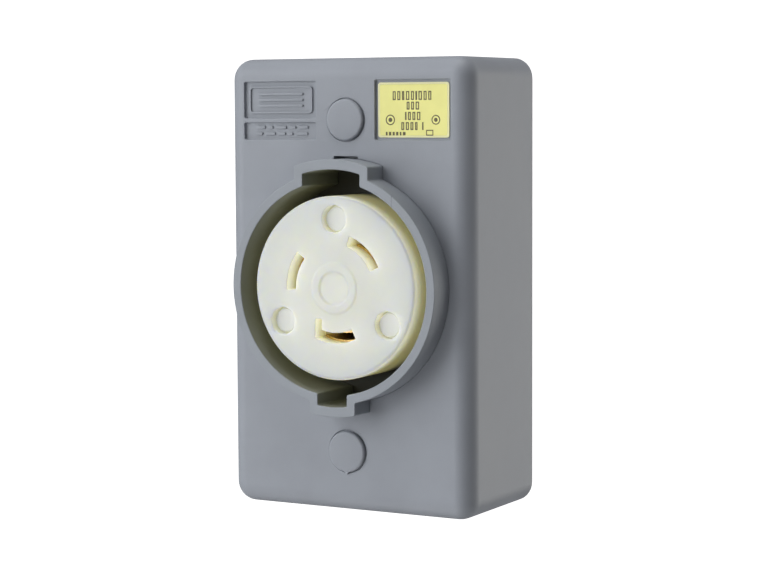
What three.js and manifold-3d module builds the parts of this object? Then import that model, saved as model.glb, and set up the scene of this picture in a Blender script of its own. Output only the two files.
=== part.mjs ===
// A single-gang surface box with a shrouded twist-lock power receptacle: 30 A, two pole, three wire.
// Units are millimetres. Every piece is drawn in the bench frame, with x to the right, y up the wall
// and z out of the wall, and its origin on the wall at the middle of the box. The exported group turns
// the bench frame so that +Z is up and the box faces -Y.
import * as THREE from "three";
import { mergeVertices } from "three/addons/utils/BufferGeometryUtils.js";
import Module from "manifold-3d";

const wasm = await Module();
wasm.setup();

// ---- Driving dimensions ---------------------------------------------------------------------------

// Clearances between separate pieces.
const gap = 0.3;
const snugGap = 0.15;
const threadGap = 0.35; // round a screw, in place of its thread

// Working allowances, which leave no trace on the finished pieces.
const past = 1; // how far a cut or a joined piece runs past the face it starts from
const weld = 0.1; // how far a piece that ends on another is sunk into it

// Box: a single-gang plate's outline, drawn out into a deep cover.
const boxWidth = 69.85;
const boxHeight = 114.3;
const boxDepth = 35.2;
const edgeRadius = 4.8; // front edges
const cornerRadius = 5.2; // upright corners
const sideWall = 2.6;
const frontWall = 2.8;
const screwSpacing = 83.34; // between the two long cover screws

// Shroud: a keyed collar that takes the plug's own shroud.
const shroudRadius = 26.6; // bore
const shroudWall = 2.25;
const shroudReach = 7.6; // proud of the box face
const socketDepth = 18.2; // from the shroud's mouth to the floor of the ring-shaped socket
const socketWidth = 3.65; // from the bore to the drum
const floorRing = 2; // thickness of the ring that is the socket's floor
const keyDepth = 2.95; // keyways cut into the bore
const keyRoof = 2.5; // wall over a keyway
const keySide = 2.3; // wall beside a keyway
const wideKey = 16.4;
const narrowKey = 8.4;
const collarFlange = 2; // thickness of the flange behind the box face
const collarMargin = 1.6; // flange edge to the box's side wall
const latchWidth = 7.2; // notch over the wide keyway, where the collar is unlatched
const latchHeight = 0.7;

// Receptacle face: a white drum inside the shroud.
const faceSetback = 1.36; // behind the shroud's mouth
const faceEdge = 0.5; // rounding of the drum's front edge
const faceSkin = 5; // face thickness over the contact pockets
const slotInner = 11.1;
const slotWidth = 2.65;
const hubRadius = 6.5;
const hubHeight = 0.2;
const dimpleRadius = 4.1;
const dimpleDepth = 0.35;

// The three blade slots, as angles about the drum's axis in degrees.
const poles = [
  { name: "line", from: 140, to: 183 },
  { name: "neutral", from: 24, to: 71.3 },
  { name: "ground", from: -114, to: -64 },
];
const groundTabWidth = 1.75; // the inward leg of the L-shaped ground slot
const groundTabDrop = 3.35; // from the slot's inner side to the leg's inner end
const groundTabInset = 0.15; // keeps the leg inside the corner of the arc

// Assembly screws through the drum, under plugs.
const assemblyAngles = [90, 210, 330];
const assemblyInset = 5.71; // from the drum's edge
const assemblyShank = 1.6;
const assemblyHead = 2.2;
const assemblyTip = 0.6; // end of the screw behind the rear cap's back
const plugBore = 3.45;
const plugStep = 0.6; // from the bore to the plug's raised head
const plugSetback = 0.6; // plug head below the drum's face
const plugHead = 1.14;
const plugFoot = 1.1;

// Contacts: two leaves on an arc, with a terminal plate.
const leafThickness = 1.1;
const leafOverlap = 0.4; // how far each leaf stands into the blade's path
const contactFloor = 1.2;
const contactTop = 0.4; // leaf tip below the face skin
const pocketMargin = 0.4; // around a contact
const pocketMarginAngle = 3; // degrees past each end of a slot
const terminalWidth = 8;
const terminalPlate = 1.3;

// Terminal screws and clamps.
const terminalShank = 1.95;
const terminalHeadRadius = 3.2;
const terminalHead = 2.2;
const terminalHeadInset = 0.1; // of a screw's head from the body's rear face
const terminalPitch = 0.79375;
const terminalTurns = 4;
const terminalTip = 1.4; // screw beyond the clamp when it is open
const clampThickness = 1.5;
const clampLength = 5.6;
const clampWidth = 7.6;
const clampMargin = 0.45; // from the contact's outer leaf, and to the end of the terminal plate
const driverAccess = 2.7;
const wirePort = 2.4;
const wireRise = 1.75; // wire port's middle above the terminal plate
const slotBlade = 0.9; // width of a driver slot
const slotSink = 1.1; // its depth

// Strap, body and rear cap.
const strapThickness = 1.5;
const strapMargin = 3; // strap's ring beyond the body
const strapEarWidth = 16;
const strapEarEnd = 5.3; // beyond the cover screw
const strapSlide = 1.2; // each way along its slots
const shoulderWidth = 3.9; // step from the body to its neck
const bodyWall = 2.2;
const chamberEnd = 1.4; // from the terminal plate to the body's wall
const rearCapThickness = 2;
const rearSpace = 1.8; // rear cap to base

// Cover screws, their bosses and caps.
const bossWall = 1.9;
const headSeatDepth = 7.2; // from the box face to the seat of the screw's head
const coverShank = 1.75;
const coverHeadRadius = 3.8;
const coverHead = 2.4;
const coverHeadDome = 1.2;
const coverScrewEnd = 6; // above the wall
const coverPoint = 1.2; // length of the screw's point
const capBoreMargin = 0.5; // round the screw's head
const capRadius = 5.19;
const capProud = 0.9;
const capSeatDepth = 0.4;
const capSeatMargin = 0.26;
const capEdge = 0.3;
const capSkirtWall = 0.85;
const capSkirtMargin = 0.25;
const capSkirtLift = 0.5; // above the screw's head
const capSlit = 1.2;
const capSlitTurns = [45, 135]; // degrees
const nubReach = 0.75;
const nubWidth = 1.9;

// Base: closes the back of the box and carries it on the wall.
const baseThickness = 2.8;
const postWall = 2.5;
const postFloor = 4; // pilot holes end this far above the wall
const wallHoleSpacing = 63;
const wallHoleRadius = 2.4;
const wallHoleSink = 4.2;
const wallHoleSinkDepth = 1;
const entryRadius = 11.1; // half-inch trade size knockout
const entryFromSide = 17.4;
const entryFromEnd = 16.65;
const knockoutGroove = 0.8;
const knockoutWeb = 1; // material left under a knockout's groove

// Shallow panels in the box face.
const panelDepth = 0.8;
const panelWidth = 21.3;
const panelFromSide = 5.1;
const upperPanelFromEnd = 5.75;
const upperPanelHeight = 9.3;
const lowerPanelFromEnd = 16.05;
const lowerPanelHeight = 4.4;
const labelPanelFromSide = 5.4;
const labelPanelFromEnd = 5.6;
const labelPanelWidth = 21.2;
const labelPanelHeight = 14.95;
const labelMargin = 0.7;
const labelThickness = 0.2;
const labelLift = 0.05;

// ---- Sizes that follow from them -------------------------------------------------------------------

const keyRadius = shroudRadius + keyDepth;
const bumpRadius = keyRadius + keyRoof;
const collarRadius = shroudRadius + shroudWall;
const faceRadius = shroudRadius - socketWidth;
const slotOuter = slotInner + slotWidth;
const leafReach = slotOuter - leafOverlap + leafThickness;
const assemblyCircle = faceRadius - assemblyInset;
const clampInner = leafReach + clampMargin;
const terminalRadius = clampInner + clampLength / 2;
const terminalReach = clampInner + clampLength + clampMargin;
const terminalHole = terminalShank + threadGap;
const bodyRadius = terminalReach + chamberEnd + bodyWall;
const neckRadius = bodyRadius - shoulderWidth;
const screwY = screwSpacing / 2;
const coverShankHole = coverShank + threadGap;
const capBore = coverHeadRadius + capBoreMargin;
const bossRadius = capBore + bossWall;
const postRadius = coverShankHole + postWall;
const entryX = boxWidth / 2 - entryFromSide;
const entryY = entryFromEnd - boxHeight / 2;

// Heights above the wall.
const faceBack = boxDepth - frontWall;
const shroudMouth = boxDepth + shroudReach;
const drumFront = shroudMouth - faceSetback;
const socketFloor = shroudMouth - socketDepth;
const drumFoot = socketFloor - floorRing;
const strapFront = drumFoot - gap;
const strapBack = strapFront - strapThickness;
const bodyShoulder = strapBack - gap;
const capBack = baseThickness + rearSpace;
const capFront = capBack + rearCapThickness;
const bodyBack = capFront + gap;
const terminalHeight = bodyBack + terminalHeadInset + terminalHead + gap;
const clampHeight = terminalHeight + terminalPlate + gap;
const clampTravel = terminalPitch * terminalTurns;
const terminalScrewEnd = clampHeight + clampThickness + clampTravel + terminalTip;
const contactFloorHeight = terminalScrewEnd + snugGap;
const pocketTop = drumFront - faceSkin;
const headSeat = boxDepth - headSeatDepth;
const coverHeadTop = headSeat + snugGap + coverHead;
const capSeat = boxDepth - capSeatDepth;
const plugTop = drumFront - plugSetback;
const plugBase = plugTop - plugHead - plugFoot;
const assemblySeat = plugBase - gap - assemblyHead;

// ---- Finishes --------------------------------------------------------------------------------------

const finish = (color, roughness, metalness = 0) =>
  new THREE.MeshStandardMaterial({ color, roughness, metalness });
const greyPlastic = finish(0x8e949c, 0.5);
const whiteNylon = finish(0xdedfd7, 0.4);
const darkThermoset = finish(0x2c2e30, 0.55);
const zincSteel = finish(0xb9bcbe, 0.35, 1);
const brass = finish(0xc49a4a, 0.35, 1);
const yellowLabel = finish(0xe9e48c, 0.5);

// ---- Solids ----------------------------------------------------------------------------------------

// A closed geometry as a manifold-3d solid.
function solidOf(geometry) {
  geometry.deleteAttribute("normal");
  geometry.deleteAttribute("uv");
  const merged = mergeVertices(geometry);
  const vertProperties = new Float32Array(merged.attributes.position.array);
  const triVerts = new Uint32Array(merged.index.array);
  return new wasm.Manifold(new wasm.Mesh({ numProp: 3, vertProperties, triVerts }));
}

// A flat shape drawn out along z between two heights.
function prism(shape, low, high, arcSteps = 6) {
  const settings = { depth: high - low, bevelEnabled: false, curveSegments: arcSteps };
  return solidOf(new THREE.ExtrudeGeometry(shape, settings).translate(0, 0, low));
}

function circle(radius, x = 0, y = 0) {
  return new THREE.Shape().absarc(x, y, radius, 0, 2 * Math.PI);
}

function rectangle(left, bottom, right, top) {
  return new THREE.Shape().moveTo(left, bottom).lineTo(right, bottom).lineTo(right, top).lineTo(left, top);
}

function roundedRectangle(width, height, radius) {
  const x = width / 2 - radius;
  const y = height / 2 - radius;
  const quarter = Math.PI / 2;
  const shape = new THREE.Shape();
  shape.absarc(x, y, radius, 0, quarter);
  shape.absarc(-x, y, radius, quarter, 2 * quarter);
  shape.absarc(-x, -y, radius, 2 * quarter, 3 * quarter);
  shape.absarc(x, -y, radius, 3 * quarter, 4 * quarter);
  return shape;
}

// Part of a ring between two radii and two angles in degrees.
function sector(inner, outer, from, to) {
  const start = THREE.MathUtils.degToRad(from);
  const end = THREE.MathUtils.degToRad(to);
  return new THREE.Shape().absarc(0, 0, outer, start, end).absarc(0, 0, inner, end, start, true);
}

function disc(radius, low, high, x = 0, y = 0, arcSteps = 8) {
  return prism(circle(radius, x, y), low, high, arcSteps);
}

const fine = 24; // arc steps of a large circle

function slab(left, bottom, right, top, low, high) {
  return prism(rectangle(left, bottom, right, top), low, high);
}

// A turned solid about z: the profile holds [radius, height] pairs, from the axis round to the axis.
function turned(profile, steps) {
  const points = profile.map(([radius, height]) => new THREE.Vector2(radius, height));
  return solidOf(new THREE.LatheGeometry(points, steps).rotateX(Math.PI / 2));
}

// A round-cornered block whose front edges are rounded, with a flat back.
function drawnBlock(width, height, corner, edge, low, high) {
  const tail = 2 * edge;
  const settings = {
    depth: high - low - edge + tail,
    bevelThickness: edge,
    bevelSize: edge,
    bevelOffset: -edge,
    bevelSegments: 4,
    curveSegments: 3,
  };
  const outline = roundedRectangle(width, height, corner);
  const block = solidOf(new THREE.ExtrudeGeometry(outline, settings).translate(0, 0, low - tail));
  return block.subtract(slab(-width, -height, width, height, low - 2 * tail, low));
}

const joined = (solids) => solids.reduce((all, next) => all.add(next));
const cutBy = (solid, tools) => tools.reduce((left, tool) => left.subtract(tool), solid);

// A point on a circle, for an angle in degrees.
function onCircle(radius, degrees) {
  const angle = THREE.MathUtils.degToRad(degrees);
  return [radius * Math.cos(angle), radius * Math.sin(angle)];
}

// A solid turned about z by some degrees.
const swung = (solid, degrees) => solid.rotate([0, 0, degrees]);

const middle = (pole) => (pole.from + pole.to) / 2;
const sides = [1, -1]; // above and below the box's middle

// A round with a wide key at the top and a narrow one at the bottom, each grown by some side margin.
function keyedRound(radius, keyedRadius, side, low, high) {
  const wide = wideKey / 2 + side;
  const narrow = narrowKey / 2 + side;
  const above = slab(-wide, 0, wide, boxHeight, low, high);
  const below = slab(-narrow, -boxHeight, narrow, 0, low, high);
  const keys = disc(keyedRadius, low, high, 0, 0, fine).intersect(above.add(below));
  return disc(radius, low, high, 0, 0, fine).add(keys);
}

// The collar's outline at any height, with a bump over each keyway.
function collarOutside(low, high, margin = 0) {
  return keyedRound(collarRadius + margin, bumpRadius + margin, keySide + margin, low, high);
}

// The collar's bore with its two keyways.
const collarBore = (low, high) => keyedRound(shroudRadius, keyRadius, 0, low, high);

// The ring that a knockout's groove takes out of a wall.
function knockoutRing(low, high) {
  const island = disc(entryRadius - knockoutGroove, low, high, 0, 0, 12);
  return disc(entryRadius, low, high, 0, 0, 12).subtract(island);
}

// ---- Box -------------------------------------------------------------------------------------------

// The edges of the panel that takes the label.
function labelOutline() {
  const right = boxWidth / 2 - labelPanelFromSide;
  const top = boxHeight / 2 - labelPanelFromEnd;
  return { left: right - labelPanelWidth, right, bottom: top - labelPanelHeight, top };
}

function frontHousing() {
  const outer = drawnBlock(boxWidth, boxHeight, cornerRadius, edgeRadius, 0, boxDepth);
  const innerEdge = Math.max(edgeRadius - sideWall, 0.5);
  const innerCorner = Math.max(cornerRadius - sideWall, innerEdge + 0.4);
  const innerWidth = boxWidth - 2 * sideWall;
  const innerHeight = boxHeight - 2 * sideWall;
  const inner = drawnBlock(innerWidth, innerHeight, innerCorner, innerEdge, -1, faceBack);
  const bossFoot = strapFront + gap;
  const bosses = sides.map((side) => disc(bossRadius, bossFoot, faceBack + past, 0, side * screwY, 12));
  const shell = joined([outer.subtract(inner), ...bosses]);

  const over = boxDepth + past;
  const screwBores = sides.flatMap((side) => [
    disc(coverShankHole, 0, over, 0, side * screwY),
    disc(capBore, headSeat, over, 0, side * screwY, 12),
    disc(capRadius + capSeatMargin, capSeat, over, 0, side * screwY, 16),
  ]);
  const panelFloor = boxDepth - panelDepth;
  const label = labelOutline();
  const left = panelFromSide - boxWidth / 2;
  const right = left + panelWidth;
  const upperTop = boxHeight / 2 - upperPanelFromEnd;
  const lowerTop = boxHeight / 2 - lowerPanelFromEnd;
  const panels = [
    slab(left, upperTop - upperPanelHeight, right, upperTop, panelFloor, over),
    slab(left, lowerTop - lowerPanelHeight, right, lowerTop, panelFloor, over),
    slab(label.left, label.bottom, label.right, label.top, panelFloor, over),
  ];
  const latchTop = bumpRadius + latchHeight;
  const latch = slab(-latchWidth / 2, keyRadius, latchWidth / 2, latchTop, faceBack - past, over);
  const opening = collarOutside(faceBack - past, over, snugGap);
  const grooveHeight = boxHeight / 2 - sideWall + knockoutWeb;
  const groove = knockoutRing(grooveHeight, boxHeight);
  const endGrooves = [90, -90].map((turn) => groove.rotate([turn, 0, 0]).translate([0, 0, boxDepth / 2]));
  return cutBy(shell, [...screwBores, ...panels, latch, opening, ...endGrooves]);
}

function basePlate() {
  const width = boxWidth - 2 * (sideWall + gap);
  const height = boxHeight - 2 * (sideWall + gap);
  const corner = Math.max(cornerRadius - sideWall - gap, 1);
  const plate = prism(roundedRectangle(width, height, corner), 0, baseThickness, 4);
  const posts = sides.map((side) => disc(postRadius, 1, bodyShoulder, 0, side * screwY, 12));
  const pilots = sides.map((side) => disc(coverShankHole, postFloor, bodyShoulder + past, 0, side * screwY));
  const wallHoles = sides.flatMap((side) => {
    const y = (side * wallHoleSpacing) / 2;
    const sink = disc(wallHoleSink, baseThickness - wallHoleSinkDepth, baseThickness + past, 0, y, 12);
    return [disc(wallHoleRadius, -1, baseThickness, 0, y), sink];
  });
  const entry = disc(entryRadius, -past, baseThickness + past, entryX, entryY, 12);
  const spare = knockoutRing(knockoutWeb, baseThickness + past).translate([-entryX, entryY, 0]);
  return cutBy(joined([plate, ...posts]), [...pilots, ...wallHoles, entry, spare]);
}

function safetyShroud() {
  const low = socketFloor + gap;
  const collar = collarOutside(low, shroudMouth);
  const width = boxWidth - 2 * (sideWall + collarMargin);
  const height = 2 * (screwY - bossRadius - 2 * gap);
  const flangeFront = faceBack - gap;
  const plate = roundedRectangle(width, height, cornerRadius);
  const flange = prism(plate, flangeFront - collarFlange, flangeFront, 4);
  return collar.add(flange).subtract(collarBore(low - past, shroudMouth + past));
}

function ratingLabel() {
  const { left, right, bottom, top } = labelOutline();
  const low = boxDepth - panelDepth + labelLift;
  const outline = [left + labelMargin, bottom + labelMargin, right - labelMargin, top - labelMargin];
  return slab(...outline, low, low + labelThickness);
}

// A press-in cap: a thin head with rounded edge on a split skirt. One cap's gate left a small nub.
function screwCap(hasNub) {
  const top = boxDepth + capProud;
  const under = capSeat + snugGap;
  const head = turned(
    [
      [0, under],
      [capRadius, under],
      [capRadius, top - capEdge],
      [capRadius - capEdge, top],
      [0, top],
    ],
    24,
  );
  const skirtEnd = coverHeadTop + capSkirtLift;
  const skirtOuter = capBore - capSkirtMargin;
  const hollow = disc(skirtOuter - capSkirtWall, skirtEnd - past, under);
  const skirt = disc(skirtOuter, skirtEnd, under + weld).subtract(hollow);
  const slits = capSlitTurns.map((turn) => {
    const bar = slab(-capRadius, -capSlit / 2, capRadius, capSlit / 2, skirtEnd - past, under - capSkirtLift);
    return swung(bar, turn);
  });
  const cap = head.add(cutBy(skirt, slits));
  if (!hasNub) return cap;
  const nub = new THREE.Shape();
  nub.moveTo(-nubWidth / 2, capSeatDepth - capRadius);
  nub.lineTo(0, -capRadius - nubReach).lineTo(nubWidth / 2, capSeatDepth - capRadius);
  return cap.add(prism(nub, boxDepth + snugGap, top - capEdge));
}

// A pan-head screw along z with its head at the front and a cross recess.
function coverScrew() {
  const seat = headSeat + snugGap;
  const top = coverHeadTop;
  const flat = coverHeadRadius - coverHeadDome;
  const screw = turned(
    [
      [0, coverScrewEnd],
      [coverShank / 2, coverScrewEnd],
      [coverShank, coverScrewEnd + coverPoint],
      [coverShank, seat],
      [coverHeadRadius, seat],
      [coverHeadRadius, top - coverHeadDome],
      [coverHeadRadius - coverHeadDome / 3, top - coverHeadDome / 3],
      [flat, top],
      [0, top],
    ],
    16,
  );
  const half = slotBlade / 2;
  const bar = slab(-flat, -half, flat, half, top - slotSink, top + past);
  return cutBy(screw, [bar, swung(bar, 90)]);
}

// ---- Receptacle ------------------------------------------------------------------------------------

// The blade's way through the face for one pole. The ground slot has a leg turned in towards the axis.
function bladeSlot(pole, low, high) {
  const arc = prism(sector(slotInner, slotOuter, pole.from, pole.to), low, high, 6);
  if (pole.name !== "ground") return arc;
  const [left, bottom] = onCircle(slotOuter, pole.from);
  const x = left + groundTabInset;
  const inner = groundTabDrop - slotInner;
  return arc.add(slab(x, bottom + groundTabInset, x + groundTabWidth, inner, low, high));
}

// The room for one contact, open to the rear of the face and the front of the body.
function contactPocket(pole, low, high) {
  const grow = leafThickness - leafOverlap + pocketMargin;
  const from = pole.from - pocketMarginAngle;
  const to = pole.to + pocketMarginAngle;
  return prism(sector(slotInner - grow, slotOuter + grow, from, to), low, high, 6);
}

// The flat ring round the drum's foot, held between the shroud's inner end and the strap.
function socketRing() {
  const hole = disc(faceRadius + gap, drumFoot - past, socketFloor + past, 0, 0, fine);
  return disc(keyRadius + 2 * gap, drumFoot, socketFloor, 0, 0, fine).subtract(hole);
}

function receptacleFace() {
  const drum = turned(
    [
      [0, drumFoot],
      [faceRadius, drumFoot],
      [faceRadius, drumFront - faceEdge],
      [faceRadius - 0.13 * faceEdge, drumFront - 0.5 * faceEdge],
      [faceRadius - 0.5 * faceEdge, drumFront - 0.13 * faceEdge],
      [faceRadius - faceEdge, drumFront],
      [0, drumFront],
    ],
    2 * fine,
  );
  const hub = disc(hubRadius, drumFront - past, drumFront + hubHeight, 0, 0, 12);
  const dimple = disc(dimpleRadius, drumFront + hubHeight - dimpleDepth, drumFront + past, 0, 0, 12);
  const slots = poles.map((pole) => bladeSlot(pole, pocketTop - past, drumFront + past));
  const pockets = poles.map((pole) => contactPocket(pole, drumFoot - past, pocketTop));
  const screws = assemblyAngles.flatMap((angle) => {
    const [x, y] = onCircle(assemblyCircle, angle);
    return [
      disc(assemblyShank + gap, drumFoot - past, drumFront, x, y, 8),
      disc(plugBore, assemblySeat - snugGap, drumFront + past, x, y, 12),
    ];
  });
  return cutBy(drum.add(hub), [dimple, ...slots, ...pockets, ...screws]);
}

// A plug over an assembly screw: a foot that fills the bore and a smaller raised head.
function facePlug() {
  return turned(
    [
      [0, plugBase],
      [plugBore - snugGap, plugBase],
      [plugBore - snugGap, plugBase + plugFoot],
      [plugBore - plugStep, plugBase + plugFoot],
      [plugBore - plugStep, plugTop - capEdge],
      [plugBore - plugStep - capEdge, plugTop],
      [0, plugTop],
    ],
    16,
  );
}

function assemblyScrew() {
  const top = assemblySeat + assemblyHead;
  const head = disc(plugBore - gap - snugGap, assemblySeat, top, 0, 0, 8);
  const shank = disc(assemblyShank, capBack + assemblyTip, assemblySeat + weld, 0, 0, 6);
  const half = slotBlade / 2;
  return head.add(shank).subtract(slab(-plugBore, -half, plugBore, half, top - slotSink, top + past));
}

// The terminal chamber of one pole, drawn at angle 0 and open to the rear of the body.
function terminalChamber() {
  const half = terminalWidth / 2 + pocketMargin;
  const inner = slotOuter - leafOverlap - gap;
  const top = contactFloorHeight + contactFloor + gap;
  const room = slab(inner, -half, bodyRadius - bodyWall, half, bodyBack - past, top);
  const port = disc(wirePort, 0, bodyRadius, 0, 0, 8).rotate([0, 90, 0]);
  return room.add(port.translate([terminalRadius, 0, terminalHeight + terminalPlate + wireRise]));
}

function receptacleBody() {
  const neck = disc(neckRadius, bodyShoulder - past, drumFoot - gap, 0, 0, 24);
  const barrel = disc(bodyRadius, bodyBack, bodyShoulder, 0, 0, fine);
  const pockets = poles.map((pole) => contactPocket(pole, contactFloorHeight - gap, drumFoot));
  const chambers = poles.map((pole) => swung(terminalChamber(), middle(pole)));
  const screws = assemblyAngles.map((angle) => {
    const [x, y] = onCircle(assemblyCircle, angle);
    return disc(assemblyShank + gap, bodyBack - past, drumFoot, x, y, 8);
  });
  return cutBy(neck.add(barrel), [...pockets, ...chambers, ...screws]);
}

function rearCap() {
  const plate = disc(bodyRadius, capBack, capFront, 0, 0, fine);
  const access = poles.map((pole) => {
    const [x, y] = onCircle(terminalRadius, middle(pole));
    return disc(driverAccess, capBack - past, capFront + past, x, y, 10);
  });
  const screws = assemblyAngles.map((angle) => {
    const [x, y] = onCircle(assemblyCircle, angle);
    return disc(assemblyShank + gap, capBack - past, capFront + past, x, y, 8);
  });
  return cutBy(plate, [...access, ...screws]);
}

function mountingStrap() {
  const end = screwY + strapEarEnd;
  const ears = prism(roundedRectangle(strapEarWidth, 2 * end, 3), strapBack, strapFront, 3);
  const ring = disc(bodyRadius + strapMargin, strapBack, strapFront, 0, 0, 24);
  const hole = disc(neckRadius + gap, strapBack - past, strapFront + past, 0, 0, 24);
  const slots = sides.map((side) => {
    const bore = disc(coverShankHole, strapBack - past, strapFront + past, 0, side * screwY, 6);
    return joined([-strapSlide, 0, strapSlide].map((shift) => bore.translate([shift, 0, 0])));
  });
  return cutBy(ears.add(ring), [hole, ...slots]);
}

// A spring contact: an inner and an outer leaf on a floor, with a leg down to the terminal plate.
function contact(pole) {
  const top = pocketTop - contactTop;
  const floorTop = contactFloorHeight + contactFloor;
  const outerIn = slotOuter - leafOverlap;
  const innerOut = slotInner + leafOverlap;
  const innerIn = innerOut - leafThickness;
  const floor = prism(sector(innerIn, leafReach, pole.from, pole.to), contactFloorHeight, floorTop, 6);
  const outerLeaf = prism(sector(outerIn, leafReach, pole.from, pole.to), contactFloorHeight, top, 6);
  const innerLeaf = prism(sector(innerIn, innerOut, pole.from, pole.to), contactFloorHeight, top, 6);
  const half = terminalWidth / 2;
  const plateTop = terminalHeight + terminalPlate;
  const leg = slab(outerIn, -half, leafReach, half, terminalHeight, floorTop);
  const plate = slab(outerIn, -half, terminalReach, half, terminalHeight, plateTop);
  const hole = disc(terminalHole, terminalHeight - past, plateTop + past, terminalRadius, 0, 8);
  const terminal = swung(leg.add(plate).subtract(hole), middle(pole));
  return joined([floor, outerLeaf, innerLeaf, terminal]);
}

// A terminal screw with its head to the rear, drawn on its own axis.
function terminalScrew() {
  const seat = terminalHeight - gap;
  const back = seat - terminalHead;
  const screw = turned(
    [
      [0, back],
      [terminalHeadRadius - capEdge, back],
      [terminalHeadRadius, back + capEdge],
      [terminalHeadRadius, seat],
      [terminalShank, seat],
      [terminalShank, terminalScrewEnd - terminalTip / 2],
      [terminalShank / 2, terminalScrewEnd],
      [0, terminalScrewEnd],
    ],
    16,
  );
  const half = slotBlade / 2;
  const reach = terminalHeadRadius + past;
  return screw.subtract(slab(-reach, -half, reach, half, back - past, back + slotSink));
}

// A clamp plate, threaded on its screw in front of the terminal plate, drawn at angle 0.
function terminalClamp() {
  const half = clampWidth / 2;
  const top = clampHeight + clampThickness;
  const plate = slab(clampInner, -half, clampInner + clampLength, half, clampHeight, top);
  return plate.subtract(disc(terminalHole, clampHeight - past, top + past, terminalRadius, 0, 8));
}

// ---- Scene -----------------------------------------------------------------------------------------

// A solid as a named mesh.
function piece(name, solid, material) {
  const { vertProperties, triVerts } = solid.getMesh();
  const geometry = new THREE.BufferGeometry();
  geometry.setAttribute("position", new THREE.BufferAttribute(vertProperties, 3));
  geometry.setIndex(new THREE.BufferAttribute(triVerts, 1));
  geometry.computeVertexNormals();
  const mesh = new THREE.Mesh(geometry, material);
  mesh.name = name;
  return mesh;
}

function boxGroup() {
  const group = new THREE.Group();
  group.add(piece("front_housing", frontHousing(), greyPlastic));
  group.add(piece("base_plate", basePlate(), greyPlastic));
  group.add(piece("safety_shroud", safetyShroud(), greyPlastic));
  group.add(piece("rating_label", ratingLabel(), yellowLabel));
  [
    { place: "upper", side: 1 },
    { place: "lower", side: -1 },
  ].forEach(({ place, side }) => {
    const cap = piece(`screw_cap_${place}`, screwCap(place === "lower"), greyPlastic);
    const screw = piece(`cover_screw_${place}`, coverScrew(), zincSteel);
    cap.position.y = side * screwY;
    screw.position.y = side * screwY;
    group.add(cap, screw);
  });
  return group;
}

function receptacleGroup() {
  const group = new THREE.Group();
  group.add(piece("receptacle_face", receptacleFace(), whiteNylon));
  group.add(piece("socket_ring", socketRing(), greyPlastic));
  group.add(piece("receptacle_body", receptacleBody(), darkThermoset));
  group.add(piece("rear_cap", rearCap(), darkThermoset));
  group.add(piece("mounting_strap", mountingStrap(), zincSteel));
  assemblyAngles.forEach((angle, index) => {
    const [x, y] = onCircle(assemblyCircle, angle);
    const plug = piece(`face_plug_${index + 1}`, facePlug(), whiteNylon);
    const screw = piece(`assembly_screw_${index + 1}`, assemblyScrew(), zincSteel);
    plug.position.set(x, y, 0);
    screw.position.set(x, y, 0);
    group.add(plug, screw);
  });
  return group;
}

function terminalGroup(pole) {
  const group = new THREE.Group();
  group.add(piece(`${pole.name}_contact`, contact(pole), brass));
  const clamp = piece(`${pole.name}_clamp`, terminalClamp(), zincSteel);
  clamp.rotation.z = THREE.MathUtils.degToRad(middle(pole));
  const screw = piece(`${pole.name}_terminal_screw`, terminalScrew(), zincSteel);
  screw.position.set(...onCircle(terminalRadius, middle(pole)), 0);
  group.add(clamp, screw);
  return group;
}

const inletBox = new THREE.Group();
inletBox.rotation.x = Math.PI / 2;
inletBox.add(boxGroup(), receptacleGroup(), ...poles.map(terminalGroup));

export default inletBox;
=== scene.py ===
"""Finished looks for a single-gang surface box with a shrouded locking receptacle.

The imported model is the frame: every piece rides on one of its bodies. Pieces are drawn on a bench,
in millimetres, with x to the right, y up the wall and z out of the wall, and are then stood up in
the frame, where the front faces -Y.
"""

import logging
import math
from dataclasses import dataclass, field
from enum import Enum
from typing import Iterable, Sequence

import bmesh
import bpy
from mathutils import Matrix, Vector
from mathutils.geometry import tessellate_polygon


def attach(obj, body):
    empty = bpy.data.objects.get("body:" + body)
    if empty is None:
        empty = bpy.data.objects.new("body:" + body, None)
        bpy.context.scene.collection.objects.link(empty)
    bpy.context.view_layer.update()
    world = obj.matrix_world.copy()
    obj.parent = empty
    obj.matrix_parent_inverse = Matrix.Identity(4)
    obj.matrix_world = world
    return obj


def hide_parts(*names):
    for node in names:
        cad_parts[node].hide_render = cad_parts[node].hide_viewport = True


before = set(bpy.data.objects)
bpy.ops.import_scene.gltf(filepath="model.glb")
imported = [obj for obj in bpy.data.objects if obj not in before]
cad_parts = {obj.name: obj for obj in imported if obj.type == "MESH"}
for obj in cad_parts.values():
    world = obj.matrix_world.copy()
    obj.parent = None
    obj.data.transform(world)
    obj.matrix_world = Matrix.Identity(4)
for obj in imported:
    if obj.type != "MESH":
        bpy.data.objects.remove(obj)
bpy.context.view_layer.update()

LOG = logging.getLogger("inlet_box")

Point = tuple[float, float]
Colour = tuple[float, float, float]
Profile = Sequence[Point]
Ring = list[int]


# ---- Shader expressions ------------------------------------------------------------------------


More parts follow.
